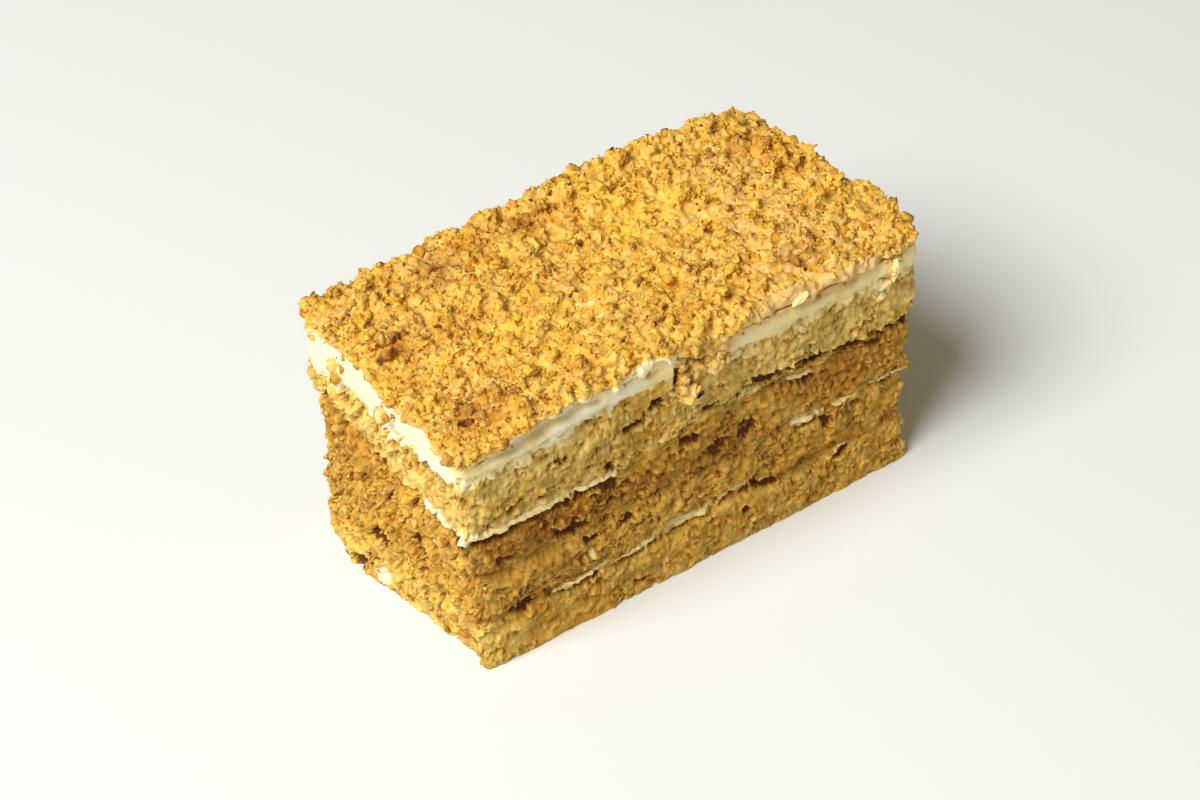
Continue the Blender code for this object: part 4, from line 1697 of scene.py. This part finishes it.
# %% Side crumbs
EVERYWHERE = {"Lowest facing": -1.1}
SPILT = Kind("spill", "spill", 41, 0.6, 0.9, 2.8, {"Sink": 0.6, "Uneven": 0.7, **EVERYWHERE})
SPILT_ON = {"cream_top": "top_cream", "sponge_upper": "sponge_upper"}
LOOSE_VALUES = {"Size power": 2.5, "Sink": 0.5, "Uneven": 0.8, **EVERYWHERE}
LOOSE = Kind("grains", "sponge", 31, 0.1, 0.5, 1.8, LOOSE_VALUES)
LOOSE_ON = (
    ("sponge_base", "sponge_base", "sponge", 0.08),
    ("sponge_lower", "sponge_lower", "sponge", 0.1),
    ("sponge_middle", "sponge_middle", "sponge", 0.1),
    ("sponge_upper", "sponge_upper", "sponge", 0.06),
    ("cream_top", "top_cream", "golden", 0.2),
)
LONG_FACE_CLEAR = 0.93
COAT_CRUMBS_FROM = 0.6


def open_side(node):
    """A copy of a dressed layer without its two fans, with the share that crumbs leave clear."""
    mesh = layers[node].data.copy()
    wall = walls[node]
    count = len(wall.rows)
    if node == "cream_top":
        shares = np.repeat(np.linspace(0, 1, count), SAMPLES)
        clear = 1 - np.clip((shares - COAT_CRUMBS_FROM) / (1 - COAT_CRUMBS_FROM), 0, 1) ** 2
    else:
        clear = np.tile(LONG_FACE_CLEAR * np.abs(wall.outward[:, 1]) ** 2, count)
        clear = np.maximum(clear, read_attribute(mesh, "cream")[:-2])
    write_attribute(mesh, "clear", np.append(clear, (1, 1)))
    with editing(mesh) as bm:
        bm.verts.ensure_lookup_table()
        bmesh.ops.delete(bm, geom=bm.verts[-2:], context="VERTS")
    return mesh


for node, slot in SPILT_ON.items():
    surface = open_side(node)
    write_attribute(surface, "clear", 1 - read_attribute(surface, "spill"))
    scattered(SPILT._replace(name=node + "_spill"), surface)

for seed, (node, slot, finish, density) in enumerate(LOOSE_ON, start=LOOSE.seed):
    kind = LOOSE._replace(name=node + "_grains", finish=finish, seed=seed, density=density)
    scattered(kind, open_side(node))

# %% [markdown]
# ## Bits of cream
#
# A few lumps of cream have their own place: on the spill, at the right end of the coat and where
# the knife drew them down. Each is a ball, stretched and turned in the plane of the face that it
# lies on, with its surface pulled out of shape by noise.

# %% Cream bits
Bit = namedtuple("Bit", "along height length width stand turn")
BITS = (
    Bit(21.7, 52.6, 3.4, 1.3, 0.8, 0.4),
    Bit(43.4, 48.8, 4.2, 1.5, 0.9, 1.4),
    Bit(42.4, 45.6, 3.2, 1.3, 0.9, 0.6),
    Bit(41.2, 43.0, 1.8, 1.0, 0.7, 0.9),
    Bit(0.4, 48.8, 3.2, 2.2, 0.9, 0.3),
    Bit(5.2, 45.6, 3.0, 1.3, 0.8, 0.5),
)
BIT_ROUNDS = 4
BIT_PULL = 0.6
BIT_WAVE = 1.1
BIT_SEED = 4
# The bits lie on the front in shade, so their butter tint is partly painted shade.
BIT_STALE_AND_SHADE = 0.8
RAY_START = -60


def surface_tree(mesh):
    """The mesh as a tree that finds where a ray meets it."""
    bm = bmesh.new()
    bm.from_mesh(mesh)
    tree = BVHTree.FromBMesh(bm)
    bm.free()
    return tree


def add_bit(bits, bit, trees):
    """One bit, where a level ray from the front meets the slice."""
    start = middle + Vector((bit.along, RAY_START, bit.height)) * MM
    hits = [tree.ray_cast(start, Vector((0, 1, 0)))[0] for tree in trees]
    place = min((hit for hit in hits if hit), key=lambda hit: hit.y)
    half = Vector((bit.length, 2 * bit.stand, bit.width)) * 0.5 * MM
    turn = Matrix.Translation(place) @ Matrix.Rotation(-bit.turn, 4, "Y")
    for vert in bmesh.ops.create_icosphere(bits, subdivisions=BIT_ROUNDS, radius=1)["verts"]:
        round_place = vert.co.copy()
        shift = noise.noise_vector(round_place * BIT_WAVE + place / MM) * BIT_PULL
        vert.co = turn @ ((round_place + shift) * half)


def cream_bits():
    trees = [surface_tree(piece.data) for piece in (bed, *layers.values())]
    mesh = bpy.data.meshes.new("cream_bits")
    noise.seed_set(BIT_SEED)
    with editing(mesh) as bits:
        for bit in BITS:
            add_bit(bits, bit, trees)
    mesh.shade_smooth()
    mesh.materials.append(finishes["cream"])
    write_attribute(mesh, "cream", np.ones(len(mesh.vertices)))
    write_attribute(mesh, "stale_and_shade", np.full(len(mesh.vertices), BIT_STALE_AND_SHADE))
    piece = added("cream_bits", mesh)
    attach(piece, "root")
    return piece


print("cream bits have", len(cream_bits().data.polygons), "faces")

# %% [markdown]
# ## The floor, the light and the air
#
# The photograph has the slice on plain white, lit softly from the upper left, so that its short
# face is bright and its long face in shade. A wide lamp gives that light, and a warm world
# fills the shade. The floor is a pale sheet.

# %% Floor
FLOOR_HALF = 1.5
FLOOR_COLOUR = (238, 246, 255)
FLOOR_ROUGHNESS = 0.9


def pale_floor():
    mesh = bpy.data.meshes.new("floor")
    with editing(mesh) as bm:
        bmesh.ops.create_grid(bm, x_segments=1, y_segments=1, size=FLOOR_HALF)
    material, w, shader = new_material("pale_floor")
    w.fill(shader, {"Base Color": linear(*FLOOR_COLOUR), "Roughness": FLOOR_ROUGHNESS})
    mesh.materials.append(material)
    floor = added("floor", mesh)
    floor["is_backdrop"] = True


pale_floor()
print("floor in m:", 2 * FLOOR_HALF)

# %% Light and air
KEY_DIRECTION = Vector((-0.6, -0.12, 0.79))
KEY_DISTANCE = 1.6
KEY_SIZE = 0.95
KEY_POWER = 30.0
KEY_COLOUR = (1.0, 0.96, 0.87)
AIR_COLOUR = (1.0, 0.85, 0.55, 1.0)
AIR_STRENGTH = 0.2


def key_light():
    lamp = bpy.data.lights.new("key", "AREA")
    lamp.shape = "DISK"
    lamp.size = KEY_SIZE
    lamp.energy = KEY_POWER
    lamp.color = KEY_COLOUR
    key = added("key", lamp)
    towards = KEY_DIRECTION.normalized()
    key.location = middle + towards * KEY_DISTANCE
    key.rotation_euler = towards.to_track_quat("Z", "Y").to_euler()


def air():
    world = bpy.data.worlds.new("air")
    world.use_nodes = True
    background = world.node_tree.nodes["Background"]
    background.inputs["Color"].default_value = AIR_COLOUR
    background.inputs["Strength"].default_value = AIR_STRENGTH
    bpy.context.scene.world = world


key_light()
air()
bpy.context.scene.view_settings.view_transform = "Standard"
print("light set")

# %% [markdown]
# ## The sizes, and the end
#
# The dressed slice has to stay inside the box of its solids, apart from a little at each side.
# Both boxes are printed.

# %% Sizes
dressed_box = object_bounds()
print("dressed box in mm:", [shown(corner) for corner in dressed_box])
